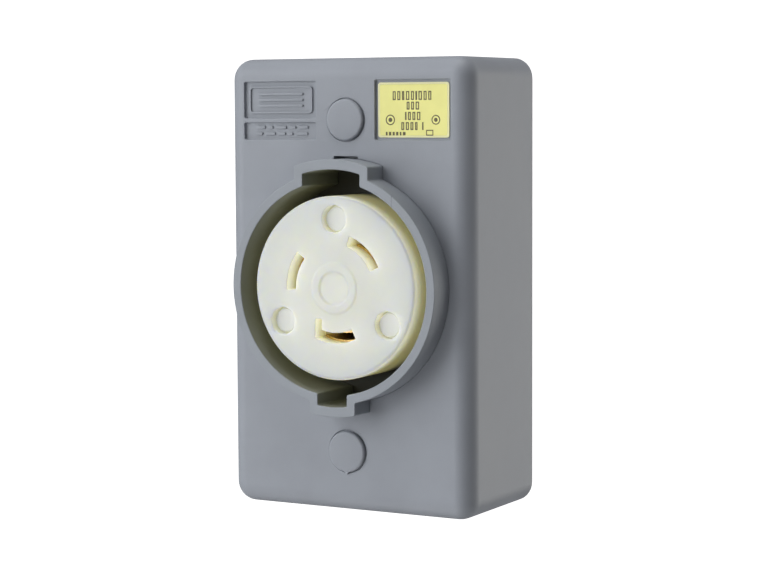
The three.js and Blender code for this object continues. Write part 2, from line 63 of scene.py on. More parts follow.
class Signal:
    """A number that changes over a surface, as a shader socket that takes part in arithmetic."""

    def __init__(self, graph: "Graph", socket: bpy.types.NodeSocket) -> None:
        """Wraps one output socket of a graph."""
        self.graph = graph
        self.socket = socket

    def _maths(self, operation: str, first: "Signal | float", second: "Signal | float") -> "Signal":
        """Adds one Math node and returns its result."""
        return self.graph.node("ShaderNodeMath", {"operation": operation}, {0: first, 1: second})

    def __add__(self, other: "Signal | float") -> "Signal":
        """Sum."""
        return self._maths("ADD", self, other)

    __radd__ = __add__

    def __sub__(self, other: "Signal | float") -> "Signal":
        """Difference."""
        return self._maths("SUBTRACT", self, other)

    def __rsub__(self, other: "Signal | float") -> "Signal":
        """Difference from a number."""
        return self._maths("SUBTRACT", other, self)

    def __mul__(self, other: "Signal | float") -> "Signal":
        """Product."""
        return self._maths("MULTIPLY", self, other)

    __rmul__ = __mul__

    def __truediv__(self, other: "Signal | float") -> "Signal":
        """Quotient."""
        return self._maths("DIVIDE", self, other)

    def __lt__(self, other: "Signal | float") -> "Signal":
        """1 where this is less than the other, else 0."""
        return self._maths("LESS_THAN", self, other)

    def __gt__(self, other: "Signal | float") -> "Signal":
        """1 where this is more than the other, else 0."""
        return self._maths("GREATER_THAN", self, other)

    def __abs__(self) -> "Signal":
        """Size without sign."""
        return self._maths("ABSOLUTE", self, 0.0)

    def ramp(self, low: float, high: float) -> "Signal":
        """Rises smoothly from 0 at low to 1 at high.

        Args:
            low: value where the ramp starts.
            high: value where the ramp ends; below low, the ramp falls instead.

        Returns:
            The ramp as a signal from 0 to 1.
        """
        ends = {"From Min": low, "From Max": high, "To Min": 0.0, "To Max": 1.0}
        if high < low:
            ends = {"From Min": high, "From Max": low, "To Min": 1.0, "To Max": 0.0}
        settings = {"interpolation_type": "SMOOTHSTEP", "clamp": True}
        return self.graph.node("ShaderNodeMapRange", settings, {"Value": self, **ends}, "Result")


class Graph:
    """The node tree of one material, with its Principled shader."""

    def __init__(self, name: str) -> None:
        """Makes an empty material with a Principled shader wired to its output.

        Args:
            name: the material's name.
        """
        self.material = bpy.data.materials.new(name)
        self.material.use_nodes = True
        self.tree = self.material.node_tree
        self.tree.nodes.clear()
        self.shader = self.tree.nodes.new("ShaderNodeBsdfPrincipled")
        output = self.tree.nodes.new("ShaderNodeOutputMaterial")
        self.tree.links.new(self.shader.outputs["BSDF"], output.inputs["Surface"])

    def node(
        self,
        kind: str,
        settings: dict[str, object] | None = None,
        inputs: dict[str | int, object] | None = None,
        output: str | int = 0,
    ) -> Signal:
        """Adds a node of any kind.

        Args:
            kind: the node's type name.
            settings: attributes set first, such as an operation.
            inputs: a value or a signal for each input socket, by name or number.
            output: the output socket to return.

        Returns:
            The chosen output as a signal.
        """
        made = self.tree.nodes.new(kind)
        for key, value in (settings or {}).items():
            setattr(made, key, value)
        for key, value in (inputs or {}).items():
            if isinstance(value, Signal):
                self.tree.links.new(value.socket, made.inputs[key])
            else:
                made.inputs[key].default_value = value
        return Signal(self, made.outputs[output])

    def place(self) -> Signal:
        """A point's place in metres, in the frame's own axes."""
        return self.node("ShaderNodeTexCoord", output="Object")

    def axis(self, letter: str) -> Signal:
        """One coordinate of the place, in metres."""
        return self.node("ShaderNodeSeparateXYZ", inputs={0: self.place()}, output=letter)

    def worn(self, reach: float, patch: float) -> Signal:
        """Patchy wear along edges.

        Args:
            reach: how far from an edge the wear goes, in millimetres.
            patch: size of the patches in millimetres.

        Returns:
            0 on the flats, up to 1 on a rubbed edge.
        """
        rounded = self.node("ShaderNodeBevel", {"samples": 4}, {"Radius": reach / 1000.0}, "Normal")
        true = self.node("ShaderNodeNewGeometry", output="Normal")
        ends = {0: rounded, 1: true}
        match = self.node("ShaderNodeVectorMath", {"operation": "DOT_PRODUCT"}, ends, "Value")
        return match.ramp(0.995, 0.9) * self.noise(patch, 3.0, 0.6).ramp(0.38, 0.62)

    def noise(self, size: float, detail: float = 2.0, rough: float = 0.5) -> Signal:
        """Soft noise with features about this many millimetres wide."""
        inputs = {"Vector": self.place(), "Scale": 1000.0 / size, "Detail": detail, "Roughness": rough}
        return self.node("ShaderNodeTexNoise", {}, inputs, "Fac")

    def blend(self, mask: Signal, first: "Signal | Colour", second: "Signal | Colour") -> Signal:
        """Mixes two colours.

        Args:
            mask: 0 gives the first colour and 1 the second.
            first: a colour or a colour signal.
            second: a colour or a colour signal.

        Returns:
            The mixed colour.
        """
        ends = [c if isinstance(c, Signal) else (*c, 1.0) for c in (first, second)]
        settings = {"data_type": "RGBA", "clamp_factor": True}
        return self.node("ShaderNodeMix", settings, {0: mask, 6: ends[0], 7: ends[1]}, 2)

    def feed(self, **sockets: object) -> None:
        """Gives the Principled shader's sockets their values or signals, named with underscores.

        Args:
            sockets: a value or a signal for each socket.
        """
        for name, value in sockets.items():
            socket = self.shader.inputs[name.replace("_", " ").title().replace("Ior", "IOR")]
            if isinstance(value, Signal):
                self.tree.links.new(value.socket, socket)
            else:
                socket.default_value = value

    def relief(self, height: Signal, depth: float, under: Signal | None = None) -> Signal:
        """Turns a height from 0 to 1 into a surface normal.

        Args:
            height: the height signal.
            depth: the height's full depth in millimetres.
            under: a normal to start from.

        Returns:
            The normal.
        """
        inputs: dict[str | int, object] = {"Strength": 1.0, "Distance": depth / 1000.0, "Height": height}
        if under is not None:
            inputs["Normal"] = under
        return self.node("ShaderNodeBump", {}, inputs, "Normal")


def screen_colour(red: int, green: int, blue: int) -> Colour:
    """A display colour from 0 to 255 as linear light.

    Args:
        red: red level.
        green: green level.
        blue: blue level.

    Returns:
        The colour as linear light.
    """

    def linear(level: int) -> float:
        """One channel as linear light."""
        share = level / 255.0
        return share / 12.92 if share <= 0.04045 else ((share + 0.055) / 1.055) ** 2.4

    return linear(red), linear(green), linear(blue)


# ---- Sizes -----------------------------------------------------------------------------------


@dataclass(frozen=True)
class Sizes:
    """The box's own sizes in millimetres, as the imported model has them."""

    width: float = 69.85
    height: float = 114.3
    depth: float = 35.2
    corner: float = 5.2
    edge: float = 4.8
    side_wall: float = 2.6
    front_wall: float = 2.8
    screw_y: float = 41.67
    mouth: float = 42.8
    collar_lip: float = 0.18
    drum_front: float = 41.44
    bore: float = 26.6
    collar: float = 28.85
    key: float = 29.55
    bump: float = 32.05
    wide: float = 8.2
    narrow: float = 4.2
    key_side: float = 2.3
    floor: float = 24.6
    foot: float = 22.6
    drum: float = 22.95
    strap_front: float = 22.3
    strap_back: float = 20.8
    shoulder: float = 20.5
    base: float = 2.8
    slot_inner: float = 11.1
    slot_outer: float = 13.75
    plug_circle: float = 17.24
    plug_bore: float = 3.45
    plug_front: float = 40.04
    pocket_inner: float = 10.0
    pocket_outer: float = 14.85
    pocket_spread: float = 3.0
    screw_hole: float = 1.9
    terminal_circle: float = 17.7

    @property
    def back(self) -> float:
        """Height of the front wall's inner face."""
        return self.depth - self.front_wall


S = Sizes()


# ---- Finishes ----------------------------------------------------------------------------------


@dataclass(frozen=True)
class Finish:
    """One finish, made into a material when it is first used."""

    name: str
    slot: str
    colour: Colour
    roughness: float

    def material(self) -> bpy.types.Material:
        """The finish's material, shared by every piece that wears it.

        Returns:
            The material.
        """
        found = bpy.data.materials.get(self.name)
        if found is not None:
            return found
        graph = Graph(self.name)
        self.paint(graph)
        return graph.material

    def paint(self, graph: Graph) -> None:
        """Wires the finish; a plain one varies its gloss a little."""
        graph.feed(base_color=(*self.colour, 1.0), roughness=self.roughness + graph.noise(2.0) * 0.05)


@dataclass(frozen=True)
class GreyMoulding(Finish):
    """Matt grey thermoplastic with a fine spark-eroded grain."""

    grain: float = 0.32
    grain_depth: float = 0.012
    collar: bool = False
    knit_x: float = 17.1
    knit_width: float = 0.18
    # Painted shade for the collar's bore and keyways, yellowed as a painted reflection of the nylon.
    bore_shade_dark: Colour = (0.215, 0.225, 0.19)
    bore_shade_pale: Colour = (0.245, 0.255, 0.215)

    def paint(self, graph: Graph) -> None:
        """Fine grain, faint cloudiness from the moulding and rubbed edges; on the collar also painted shade,
        tinted by a painted reflection of the nylon, in the bore and keyways.

        Args:
            graph: the material being wired.
        """
        cloud = graph.noise(14.0, 3.0)
        speck = graph.noise(self.grain, 2.0, 0.6)
        lighter = tuple(min(1.0, c * 1.035) for c in self.colour)
        darker = tuple(c * 0.965 for c in self.colour)
        base = graph.blend(cloud.ramp(0.3, 0.7), darker, lighter)
        base = graph.blend(speck.ramp(0.35, 0.75) * 0.12, base, tuple(c * 0.8 for c in self.colour))
        if self.collar:
            # Painted shade and a painted reflection of the nylon inside the bore and keyways.
            inside = graph.blend(cloud.ramp(0.3, 0.7), self.bore_shade_dark, self.bore_shade_pale)
            base = graph.blend(self._painted_bore_shade(graph), base, inside)
            base = graph.blend(self._knit(graph) * 0.55, base, tuple(c * 0.35 for c in self.colour))
        rubbed = graph.worn(0.35, 2.5)
        base = graph.blend(rubbed * 0.35, base, tuple(min(1.0, c * 1.22) for c in self.colour))
        normal = graph.relief(speck, self.grain_depth)
        graph.feed(
            base_color=base,
            roughness=self.roughness + (cloud - 0.5) * 0.12 + (speck - 0.5) * 0.1 - rubbed * 0.12,
            normal=normal,
            specular_ior_level=0.42,
        )

    def _painted_bore_shade(self, graph: Graph) -> Signal:
        """The bore and keyways, where painted shade darkens the plastic and a painted reflection of the nylon
        tints it yellow.

        Args:
            graph: the material being wired.

        Returns:
            1 inside the bore and keyways, else 0.
        """
        slack = 0.4
        x, z = graph.axis("X") * 1000.0, graph.axis("Z") * 1000.0
        away = x * x + z * z
        bore = away < (S.bore + 0.35) ** 2
        in_reach = away < (S.key + slack) ** 2
        wide_keyway = (abs(x) < S.wide + slack) * in_reach * (z > 0.0)
        narrow_keyway = (abs(x) < S.narrow + slack) * in_reach * (z < 0.0)
        sunk = graph.axis("Y") * 1000.0 > S.collar_lip - S.mouth
        return (bore + wide_keyway + narrow_keyway).ramp(0.2, 0.8) * sunk

    def _knit(self, graph: Graph) -> Signal:
        """The hairline where two flows of plastic met, on the collar's mouth at upper right.

        Args:
            graph: the material being wired.

        Returns:
            1 on the hairline, else 0.
        """
        near = abs(graph.axis("X") * 1000.0 - self.knit_x) < self.knit_width / 2
        above = graph.axis("Z") > 0.0
        mouth = graph.axis("Y") * 1000.0 < 0.6 - S.mouth
        return near * above * mouth


@dataclass(frozen=True)
class WhiteNylon(Finish):
    """Translucent white nylon, with a painted straw tint and a painted glow where light would travel through
    it.
    """

    front: float = S.drum_front
    glow: float = 1.0
    depth: float = 9.0
    # Painted light: the next colour is a straw tint standing for light carried through the nylon and bounced
    # inside it; lit_near and lit_deep colour a painted glow, sent out as emission.
    painted_straw: Colour = (0.8, 0.74, 0.42)
    rim: Colour = (0.76, 0.78, 0.71)
    lit_near: Colour = (0.3, 0.295, 0.23)
    lit_deep: Colour = (0.14, 0.125, 0.05)
    grain: float = 0.6
    grain_depth: float = 0.004

    def paint(self, graph: Graph) -> None:
        """Milky white with a painted straw tint down the sides, in the slots and under the skin, and a
        painted glow from just under the face.

        Args:
            graph: the material being wired.
        """
        below = graph.axis("Y") * 1000.0 + self.front
        cloud = graph.noise(9.0, 3.0)
        milk = graph.blend(cloud.ramp(0.3, 0.7), self.colour, tuple(c * 0.965 for c in self.colour))
        x, z = graph.axis("X") * 1000.0, graph.axis("Z") * 1000.0
        away = x * x + z * z
        milk = graph.blend(away.ramp(150.0, 530.0) * 0.6, milk, self.rim)
        # Painted light: a straw tint that deepens from 0.3 mm to 7 mm below the face, standing for light
        # carried through the nylon.
        base = graph.blend(below.ramp(0.3, 7.0) * 0.3, milk, self.painted_straw)
        inner, outer = S.slot_outer + 0.2, S.plug_circle + S.plug_bore + 0.21
        # Painted glow: emission from just under the face down to about 15 mm, fading from lit_near to
        # lit_deep, at half strength in the band from the slots' outer edge to the plug bores' outer edge.
        thin = ((away < inner**2) + (away > outer**2)) * 0.5 + 0.5
        through = below.ramp(0.0, 0.6) * below.ramp(15.0, 8.0) * thin
        glow = graph.blend(below.ramp(0.0, 4.8), self.lit_near, self.lit_deep)
        normal = graph.relief(graph.noise(self.grain, 2.0), self.grain_depth)
        graph.feed(
            base_color=base,
            roughness=self.roughness + (cloud - 0.5) * 0.1,
            normal=normal,
            emission_color=graph.blend(through, (0.0, 0.0, 0.0), glow),
            emission_strength=1.0,
            subsurface_weight=self.glow,
            subsurface_radius=(1.0, 0.88, 0.45),
            subsurface_scale=self.depth / 1000.0,
        )


@dataclass(frozen=True)
class DarkThermoset(Finish):
    """Black moulded thermoset with a faint mottled gloss."""

    def paint(self, graph: Graph) -> None:
        """Mottled gloss, a fine orange-peel surface and greyed edges.

        Args:
            graph: the material being wired.
        """
        mottle = graph.noise(3.0, 4.0, 0.6)
        base = graph.blend(mottle.ramp(0.35, 0.7), self.colour, tuple(c * 1.5 for c in self.colour))
        rubbed = graph.worn(0.4, 2.0)
        base = graph.blend(rubbed * 0.6, base, tuple(c * 4.0 for c in self.colour))
        normal = graph.relief(graph.noise(0.8, 2.0), 0.01)
        rough = self.roughness + (mottle - 0.5) * 0.25 + rubbed * 0.15
        graph.feed(base_color=base, roughness=rough, normal=normal)


@dataclass(frozen=True)
class PlatedMetal(Finish):
    """Rolled or turned metal: brushed one way, with small changes of tone."""

    tint: Colour = (0.5, 0.5, 0.5)
    brushing: float = 0.25

    def paint(self, graph: Graph) -> None:
        """Streaks one way, cloudy tone, uneven gloss and bright edges.

        Args:
            graph: the material being wired.
        """
        stretch = {"Scale": (18.0, 1.0, 1.0)}
        streaked = graph.node("ShaderNodeMapping", {}, {"Vector": graph.place(), **stretch})
        inputs = {"Vector": streaked, "Scale": 220.0, "Detail": 3.0}
        streak = graph.node("ShaderNodeTexNoise", {}, inputs, "Fac")
        cloud = graph.noise(4.0, 3.0)
        base = graph.blend(cloud.ramp(0.35, 0.7), self.colour, self.tint)
        rubbed = graph.worn(0.2, 1.2)
        base = graph.blend(rubbed * 0.5, base, tuple(min(1.0, c * 1.3) for c in self.tint))
        rough = self.roughness + (streak - 0.5) * self.brushing + (cloud - 0.5) * 0.15 - rubbed * 0.1
        normal = graph.relief(streak, 0.004)
        graph.feed(base_color=base, roughness=rough, metallic=1.0, normal=normal)


@dataclass(frozen=True)
class PrintedFilm(Finish):
    """Printed label film: even colour under a thin gloss."""

    def paint(self, graph: Graph) -> None:
        """Even ink with a slight waviness of the film.

        Args:
            graph: the material being wired.
        """
        wave = graph.noise(5.0, 2.0)
        base = graph.blend(wave.ramp(0.3, 0.7), self.colour, tuple(c * 0.96 for c in self.colour))
        normal = graph.relief(wave, 0.01)
        graph.feed(base_color=base, roughness=self.roughness + (wave - 0.5) * 0.1, normal=normal)


class Wear(Enum):
    """The finishes this box wears."""

    BOX = GreyMoulding("grey moulding", "grey_plastic", screen_colour(155, 159, 167), 0.5)
    # The collar's finish adds painted shade with a painted reflection of the nylon in its bore and keyways.
    COLLAR = GreyMoulding(
        "grey collar", "grey_plastic", screen_colour(153, 158, 165), 0.48, collar=True
    )
    # Painted shade: the same grey plastic made far darker and a little yellower for the socket floor, which
    # lies in shade deep in the collar, with a painted reflection of the nylon.
    SOCKET = GreyMoulding("socket grey", "grey_plastic", (0.1, 0.1, 0.087), 0.75)
    # Both nylon finishes carry the painted straw tint and the painted glow.
    NYLON = WhiteNylon("white nylon", "white_nylon", (0.815, 0.825, 0.762), 0.36)
    PLUG = WhiteNylon(
        "plug nylon",
        "white_nylon",
        (0.83, 0.83, 0.8),
        0.36,
        S.plug_front,
        glow=0.3,
        depth=0.8,
        grain=1.3,
        grain_depth=0.06,
    )
    THERMOSET = DarkThermoset("dark thermoset", "dark_thermoset", (0.018, 0.018, 0.019), 0.42)
    ZINC = PlatedMetal("zinc plate", "zinc_steel", (0.56, 0.57, 0.6), 0.32, (0.66, 0.64, 0.6))
    BRASS = PlatedMetal("rolled brass", "brass", (0.72, 0.5, 0.2), 0.3, (0.62, 0.4, 0.16))
    LABEL = PrintedFilm("yellow film", "label_film", screen_colour(251, 246, 150), 0.42)
    RIM = PrintedFilm("label rim", "label_film", screen_colour(248, 244, 188), 0.4)
    PRINT = PrintedFilm("label print", "label_film", screen_colour(96, 88, 52), 0.5)


# ---- Plane outlines ----------------------------------------------------------------------------


class Outline:
    """A closed plane outline, anticlockwise, in millimetres on the bench."""

    def __init__(self, points: Iterable[Point]) -> None:
        """Keeps the points, turned to run anticlockwise.

        Args:
            points: the corners in order.
        """
        self.points = [(float(x), float(y)) for x, y in points]
        if self._area() < 0:
            self.points.reverse()

    def _area(self) -> float:
        """Twice the signed area."""
        pairs = zip(self.points, self.points[1:] + self.points[:1])
        return sum(a[0] * b[1] - b[0] * a[1] for a, b in pairs)

    def grown(self, distance: float) -> list[Point]:
        """The points moved straight out of the outline; a negative distance moves them in.

        Args:
            distance: how far out, in millimetres.

        Returns:
            The moved points.
        """
        if distance == 0:
            return list(self.points)
        count = len(self.points)
        moved = []
        for index, (x, y) in enumerate(self.points):
            before = self._side(self.points[index - 1], (x, y))
            after = self._side((x, y), self.points[(index + 1) % count])
            share = distance / max(1.0 + before[0] * after[0] + before[1] * after[1], 0.3)
            moved.append((x + (before[0] + after[0]) * share, y + (before[1] + after[1]) * share))
        return moved

    @staticmethod
    def _side(start: Point, end: Point) -> Point:
        """The outward unit normal of one side."""
        length = math.hypot(end[0] - start[0], end[1] - start[1]) or 1.0
        return (end[1] - start[1]) / length, (start[0] - end[0]) / length

    def moved(self, x: float, y: float) -> "Outline":
        """The same outline somewhere else."""
        return Outline((px + x, py + y) for px, py in self.points)

    def turned(self, degrees: float) -> "Outline":
        """The same outline turned about the origin."""
        c, s = math.cos(math.radians(degrees)), math.sin(math.radians(degrees))
        return Outline((x * c - y * s, x * s + y * c) for x, y in self.points)

    @classmethod
    def circle(cls, radius: float, x: float = 0.0, y: float = 0.0, steps: int = 64) -> "Outline":
        """A circle."""
        turns = [2 * math.pi * k / steps for k in range(steps)]
        return cls((x + radius * math.cos(t), y + radius * math.sin(t)) for t in turns)

    @classmethod
    def cornered(cls, corners: Sequence[tuple[float, float, float]], steps: int = 5) -> "Outline":
        """A polygon whose corners are rounded.

        Args:
            corners: (x, y, radius) for each corner; radius 0 keeps the point as it is.
            steps: sides of each rounding.

        Returns:
            The rounded outline.
        """
        points: list[Point] = []
        count = len(corners)
        for index, (x, y, radius) in enumerate(corners):
            if radius <= 0:
                points.append((x, y))
                continue
            here = Vector((x, y))
            back = (Vector(corners[index - 1][:2]) - here).normalized()
            ahead = (Vector(corners[(index + 1) % count][:2]) - here).normalized()
            half = back.angle(ahead) / 2
            middle = here + (back + ahead).normalized() * (radius / math.sin(half))
            start = here + back * (radius / math.tan(half)) - middle
            end = here + ahead * (radius / math.tan(half)) - middle
            sweep = start.angle_signed(end)
            for step in range(steps + 1):
                spun = start.copy()
                spun.rotate(Matrix.Rotation(-sweep * step / steps, 2))
                points.append(tuple(middle + spun))
        return cls(points)

    @classmethod
    def rectangle(cls, left: float, low: float, right: float, high: float, corner: float = 0.0) -> "Outline":
        """A rectangle with rounded corners."""
        spots = [(left, low), (right, low), (right, high), (left, high)]
        return cls.cornered([(x, y, corner) for x, y in spots], 8)

    @classmethod
    def sector(cls, inner: float, outer: float, start: float, end: float, corner: float = 0.3) -> "Outline":
        """Part of a ring between two radii and two angles in degrees.

        Args:
            inner: inner radius.
            outer: outer radius.
            start: angle in degrees where it starts.
            end: angle in degrees where it ends.
            corner: rounding of its corners.

        Returns:
            The outline.
        """
        rim = arc_points(outer, start, end, 20)
        bore = arc_points(inner, end, start, 20)
        marked = [(*p, corner if k in (0, len(rim) - 1) else 0.0) for k, p in enumerate(rim)]
        marked += [(*p, corner if k in (0, len(bore) - 1) else 0.0) for k, p in enumerate(bore)]
        return cls.cornered(marked, 3)


def arc_points(radius: float, start: float, end: float, steps: int) -> list[Point]:
    """Points along an arc about the origin, between two angles in degrees."""
    angles = [math.radians(start + (end - start) * k / steps) for k in range(steps + 1)]
    return [(radius * math.cos(a), radius * math.sin(a)) for a in angles]


def quarter(reach: float, low: float, high: float, grow: float, steps: int = 5) -> list[Point]:
    """A rounded edge as a profile, from the wall to the flat.

    Args:
        reach: growth of the outline on the wall.
        low: height where the rounding leaves the wall.
        high: height of the flat.
        grow: extra growth of the outline at the flat, negative on an outside edge.
        steps: sides of the rounding.

    Returns:
        (growth, height) pairs.
    """
    turns = [math.pi / 2 * k / steps for k in range(steps + 1)]
    return [(reach + grow * (1 - math.cos(t)), low + (high - low) * math.sin(t)) for t in turns]


def eased(low: float, high: float, edge: float, sign: float = -1.0, steps: int = 4) -> list[Point]:
    """The profile of a wall between two flats with both edges rounded.

    Args:
        low: height of the lower flat.
        high: height of the upper flat.
        edge: radius of both edges.
        sign: -1 for an outside wall and 1 for the wall of a hole.
        steps: sides of each rounding.

    Returns:
        (growth, height) pairs from the lower flat to the upper one.
    """
    under = quarter(0.0, low + edge, low, sign * edge, steps)
    return under[::-1] + quarter(0.0, high - edge, high, sign * edge, steps)


# ---- Meshes ------------------------------------------------------------------------------------


class Skin:
    """A closed surface built from rings, walls and flats on the bench."""

    def __init__(self) -> None:
        """Starts with no surface."""
        self.spots: list[tuple[float, float, float]] = []
        self.faces: list[tuple[int, ...]] = []

    def ring(self, points: Iterable[Point], height: float) -> Ring:
        """Adds a closed ring of points at one height.

        Args:
            points: the points in order.
            height: their height.

        Returns:
            The points' numbers.
        """
        start = len(self.spots)
        self.spots += [(x, y, height) for x, y in points]
        return list(range(start, len(self.spots)))

    def wall(self, first: Ring, second: Ring) -> None:
        """Joins two rings with as many points each.

        Args:
            first: one ring.
            second: the other ring.
        """
        count = len(first)
        for k in range(count):
            after = (k + 1) % count
            self.faces.append((first[k], first[after], second[after], second[k]))

    def sweep(self, outline: Outline, profile: Profile) -> tuple[Ring, Ring]:
        """Carries an outline along a profile.

        Args:
            outline: the outline at growth 0.
            profile: (growth, height) pairs.

        Returns:
            The first and the last ring.
        """
        rings = [self.ring(outline.grown(grow), height) for grow, height in profile]
        for first, second in zip(rings, rings[1:]):
            self.wall(first, second)
        return rings[0], rings[-1]

    def lathe(self, profile: Profile, x: float = 0.0, y: float = 0.0, steps: int = 64) -> tuple[Ring, Ring]:
        """Turns (radius, height) pairs about an upright axis, and returns the first and last ring.

        Args:
            profile: (radius, height) pairs.
            x: the axis's x.
            y: the axis's y.
            steps: sides of each round.

        Returns:
            The first and the last ring.
        """
        rings = [self.ring(Outline.circle(radius, x, y, steps).points, z) for radius, z in profile]
        for first, second in zip(rings, rings[1:]):
            self.wall(first, second)
        return rings[0], rings[-1]

    def flat(self, rim: Ring, holes: Sequence[Ring] = ()) -> None:
        """Closes a ring with a flat, leaving holes in it.

        Args:
            rim: the outer ring.
            holes: the rings of the holes.
        """
        loops = [rim, *holes]
        flatwise = [[Vector((*self.spots[i][:2], 0.0)) for i in loop] for loop in loops]
        joined = [i for loop in loops for i in loop]
        for triangle in tessellate_polygon(flatwise):
            self.faces.append(tuple(joined[i] for i in triangle))

    def prism(self, outline: Outline, low: float, high: float) -> None:
        """Adds a straight closed block.

        Args:
            outline: its outline.
            low: height of its lower end.
            high: height of its upper end.
        """
        foot, top = self.sweep(outline, [(0.0, low), (0.0, high)])
        self.flat(foot)
        self.flat(top)

    def turned(self, profile: Profile, x: float = 0.0, y: float = 0.0, steps: int = 64) -> None:
        """Adds a turned form with a flat at each end.

        Args:
            profile: (radius, height) pairs.
            x: the axis's x.
            y: the axis's y.
            steps: sides of each round.
        """
        foot, top = self.lathe(profile, x, y, steps)
        self.flat(foot)
        self.flat(top)

    def slab(
        self, outline: Outline, low: float, high: float, edge: float, holes: Sequence[Outline] = ()
    ) -> None:
        """Adds a plate with rounded edges and holes right through it.

        Args:
            outline: the plate's outline.
            low: height of its underside.
            high: height of its top.
            edge: radius of its edges.
            holes: outlines of its holes.
        """
        rims = [self.sweep(outline, eased(low, high, edge))]
        rims += [self.sweep(hole, eased(low, high, edge, 1.0)) for hole in holes]
        for side in (0, 1):
            self.flat(rims[0][side], [rim[side] for rim in rims[1:]])

    def mesh(self, name: str) -> bpy.types.Mesh:
        """Stands the surface up in the frame as a mesh with its faces turned out.

        Args:
            name: the mesh's name.

        Returns:
            The mesh, in metres.
        """
        made = bpy.data.meshes.new(name)
        stood = [(x / 1000.0, -z / 1000.0, y / 1000.0) for x, y, z in self.spots]
        made.from_pydata(stood, [], self.faces)
        work = bmesh.new()
        work.from_mesh(made)
        bmesh.ops.remove_doubles(work, verts=work.verts, dist=1e-7)
        bmesh.ops.dissolve_degenerate(work, dist=1e-8, edges=work.edges)
        bmesh.ops.recalc_face_normals(work, faces=work.faces)
        work.to_mesh(made)
        work.free()
        return made


def link(name: str, mesh: bpy.types.Mesh) -> bpy.types.Object:
    """Puts a mesh into the scene as an object.

    Args:
        name: the object's name.
        mesh: its mesh.

    Returns:
        The object.
    """
    made = bpy.data.objects.new(name, mesh)
    bpy.context.scene.collection.objects.link(made)
    return made


def settle(piece: bpy.types.Object) -> None:
    """Applies a piece's modifiers to its mesh.

    Args:
        piece: the mesh object.
    """
    graph = bpy.context.evaluated_depsgraph_get()
    baked = bpy.data.meshes.new_from_object(piece.evaluated_get(graph))
    old = piece.data
    piece.modifiers.clear()
    piece.data = baked
    bpy.data.meshes.remove(old)


def carve(piece: bpy.types.Object, cutter: Skin) -> None:
    """Takes a closed surface out of a piece.

    Args:
        piece: the mesh object.
        cutter: the surface to take out.
    """
    tool = link("cutter", cutter.mesh("cutter"))
    cut = piece.modifiers.new("carve", "BOOLEAN")
    cut.operation = "DIFFERENCE"
    cut.solver = "EXACT"
    cut.object = tool
    settle(piece)
    bpy.data.objects.remove(tool)


def cut_through(piece: bpy.types.Object, outline: Outline, low: float, high: float) -> None:
    """Cuts an upright hole.

    Args:
        piece: the mesh object.
        outline: the hole's outline.
        low: height of its lower end.
        high: height of its upper end.
    """
    skin = Skin()
    skin.prism(outline, low, high)
    carve(piece, skin)


def ease_edges(piece: bpy.types.Object, width: float, angle: float = 38.0) -> None:
    """Rounds a piece's sharp edges by this many millimetres.

    Args:
        piece: the mesh object.
        width: width of the rounding.
        angle: least angle in degrees of an edge that is rounded.
    """
    bevel = piece.modifiers.new("ease", "BEVEL")
    bevel.width = width / 1000.0
    bevel.segments = 2
    bevel.limit_method = "ANGLE"
    bevel.angle_limit = math.radians(angle)
    bevel.use_clamp_overlap = True
    settle(piece)


def polish(piece: bpy.types.Object, crease: float = 40.0) -> None:
    """Smooth shading that keeps flats flat and creases sharp.

    Args:
        piece: the mesh object.
        crease: least angle in degrees of an edge that stays sharp.
    """
    piece.data.shade_smooth()
    piece.data.set_sharp_from_angle(angle=math.radians(crease))
    weigh = piece.modifiers.new("weigh", "WEIGHTED_NORMAL")
    weigh.mode = "FACE_AREA"
    weigh.weight = 90
    weigh.keep_sharp = True
    settle(piece)


@dataclass
class Shop:
    """Finishes pieces and sets them on their bodies."""

    made: int = 0

    def fit(self, piece: bpy.types.Object, wear: Wear, body: str, *stands_for: str) -> None:
        """Dresses a piece and lets it ride.

        Args:
            piece: the finished mesh object.
            wear: its finish.
            body: the body it moves with.
            stands_for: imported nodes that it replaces.
        """
        piece.data.materials.clear()
        piece.data.materials.append(wear.value.material())
        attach(piece, body)
        if stands_for:
            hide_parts(*stands_for)
        self.made += 1
        LOG.info("%s rides on %s in %s", piece.name, body, wear.value.name)

    def finish(self, name: str, skin: Skin, wear: Wear, body: str, *stands_for: str) -> None:
        """Turns a surface into a smooth piece and fits it.

        Args:
            name: the piece's name.
            skin: its closed surface.
            wear: its finish.
            body: the body it moves with.
            stands_for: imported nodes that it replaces.
        """
        piece = link(name, skin.mesh(name))
        polish(piece)
        self.fit(piece, wear, body, *stands_for)

    def dress(self, node: str, wear: Wear) -> None:
        """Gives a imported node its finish.

        Args:
            node: the node's name.
            wear: its finish.
        """
        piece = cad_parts[node]
        piece.data.materials.clear()
        piece.data.materials.append(wear.value.material())
        LOG.info("%s keeps its shape in %s", node, wear.value.name)


@dataclass
class Assembly:
    """A sub-assembly, with the shop that finishes its pieces."""

    shop: Shop


# ---- Places shared by the pieces ---------------------------------------------------------------


PLUG_ANGLES = (90.0, 210.0, 330.0)


class Pole(Enum):
    """The three blade slots, as their start and end angles in degrees."""

    LINE = (140.0, 183.0)
    NEUTRAL = (24.0, 71.3)
    GROUND = (-114.0, -64.0)

    @property
    def middle(self) -> float:
        """Angle of the slot's middle."""
        return sum(self.value) / 2

    def pocket(self, corner: float) -> Outline:
        """The contact's pocket, wider than the slot.

        Args:
            corner: rounding of its corners.

        Returns:
            The pocket's outline.
        """
        start, end = self.value
        spread = S.pocket_spread
        return Outline.sector(S.pocket_inner, S.pocket_outer, start - spread, end + spread, corner)

    @property
    def word(self) -> str:
        """The pole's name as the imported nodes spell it."""
        return self.name.lower()


def on_circle(radius: float, degrees: float) -> Point:
    """A point on a circle about the drum's axis."""
    return radius * math.cos(math.radians(degrees)), radius * math.sin(math.radians(degrees))


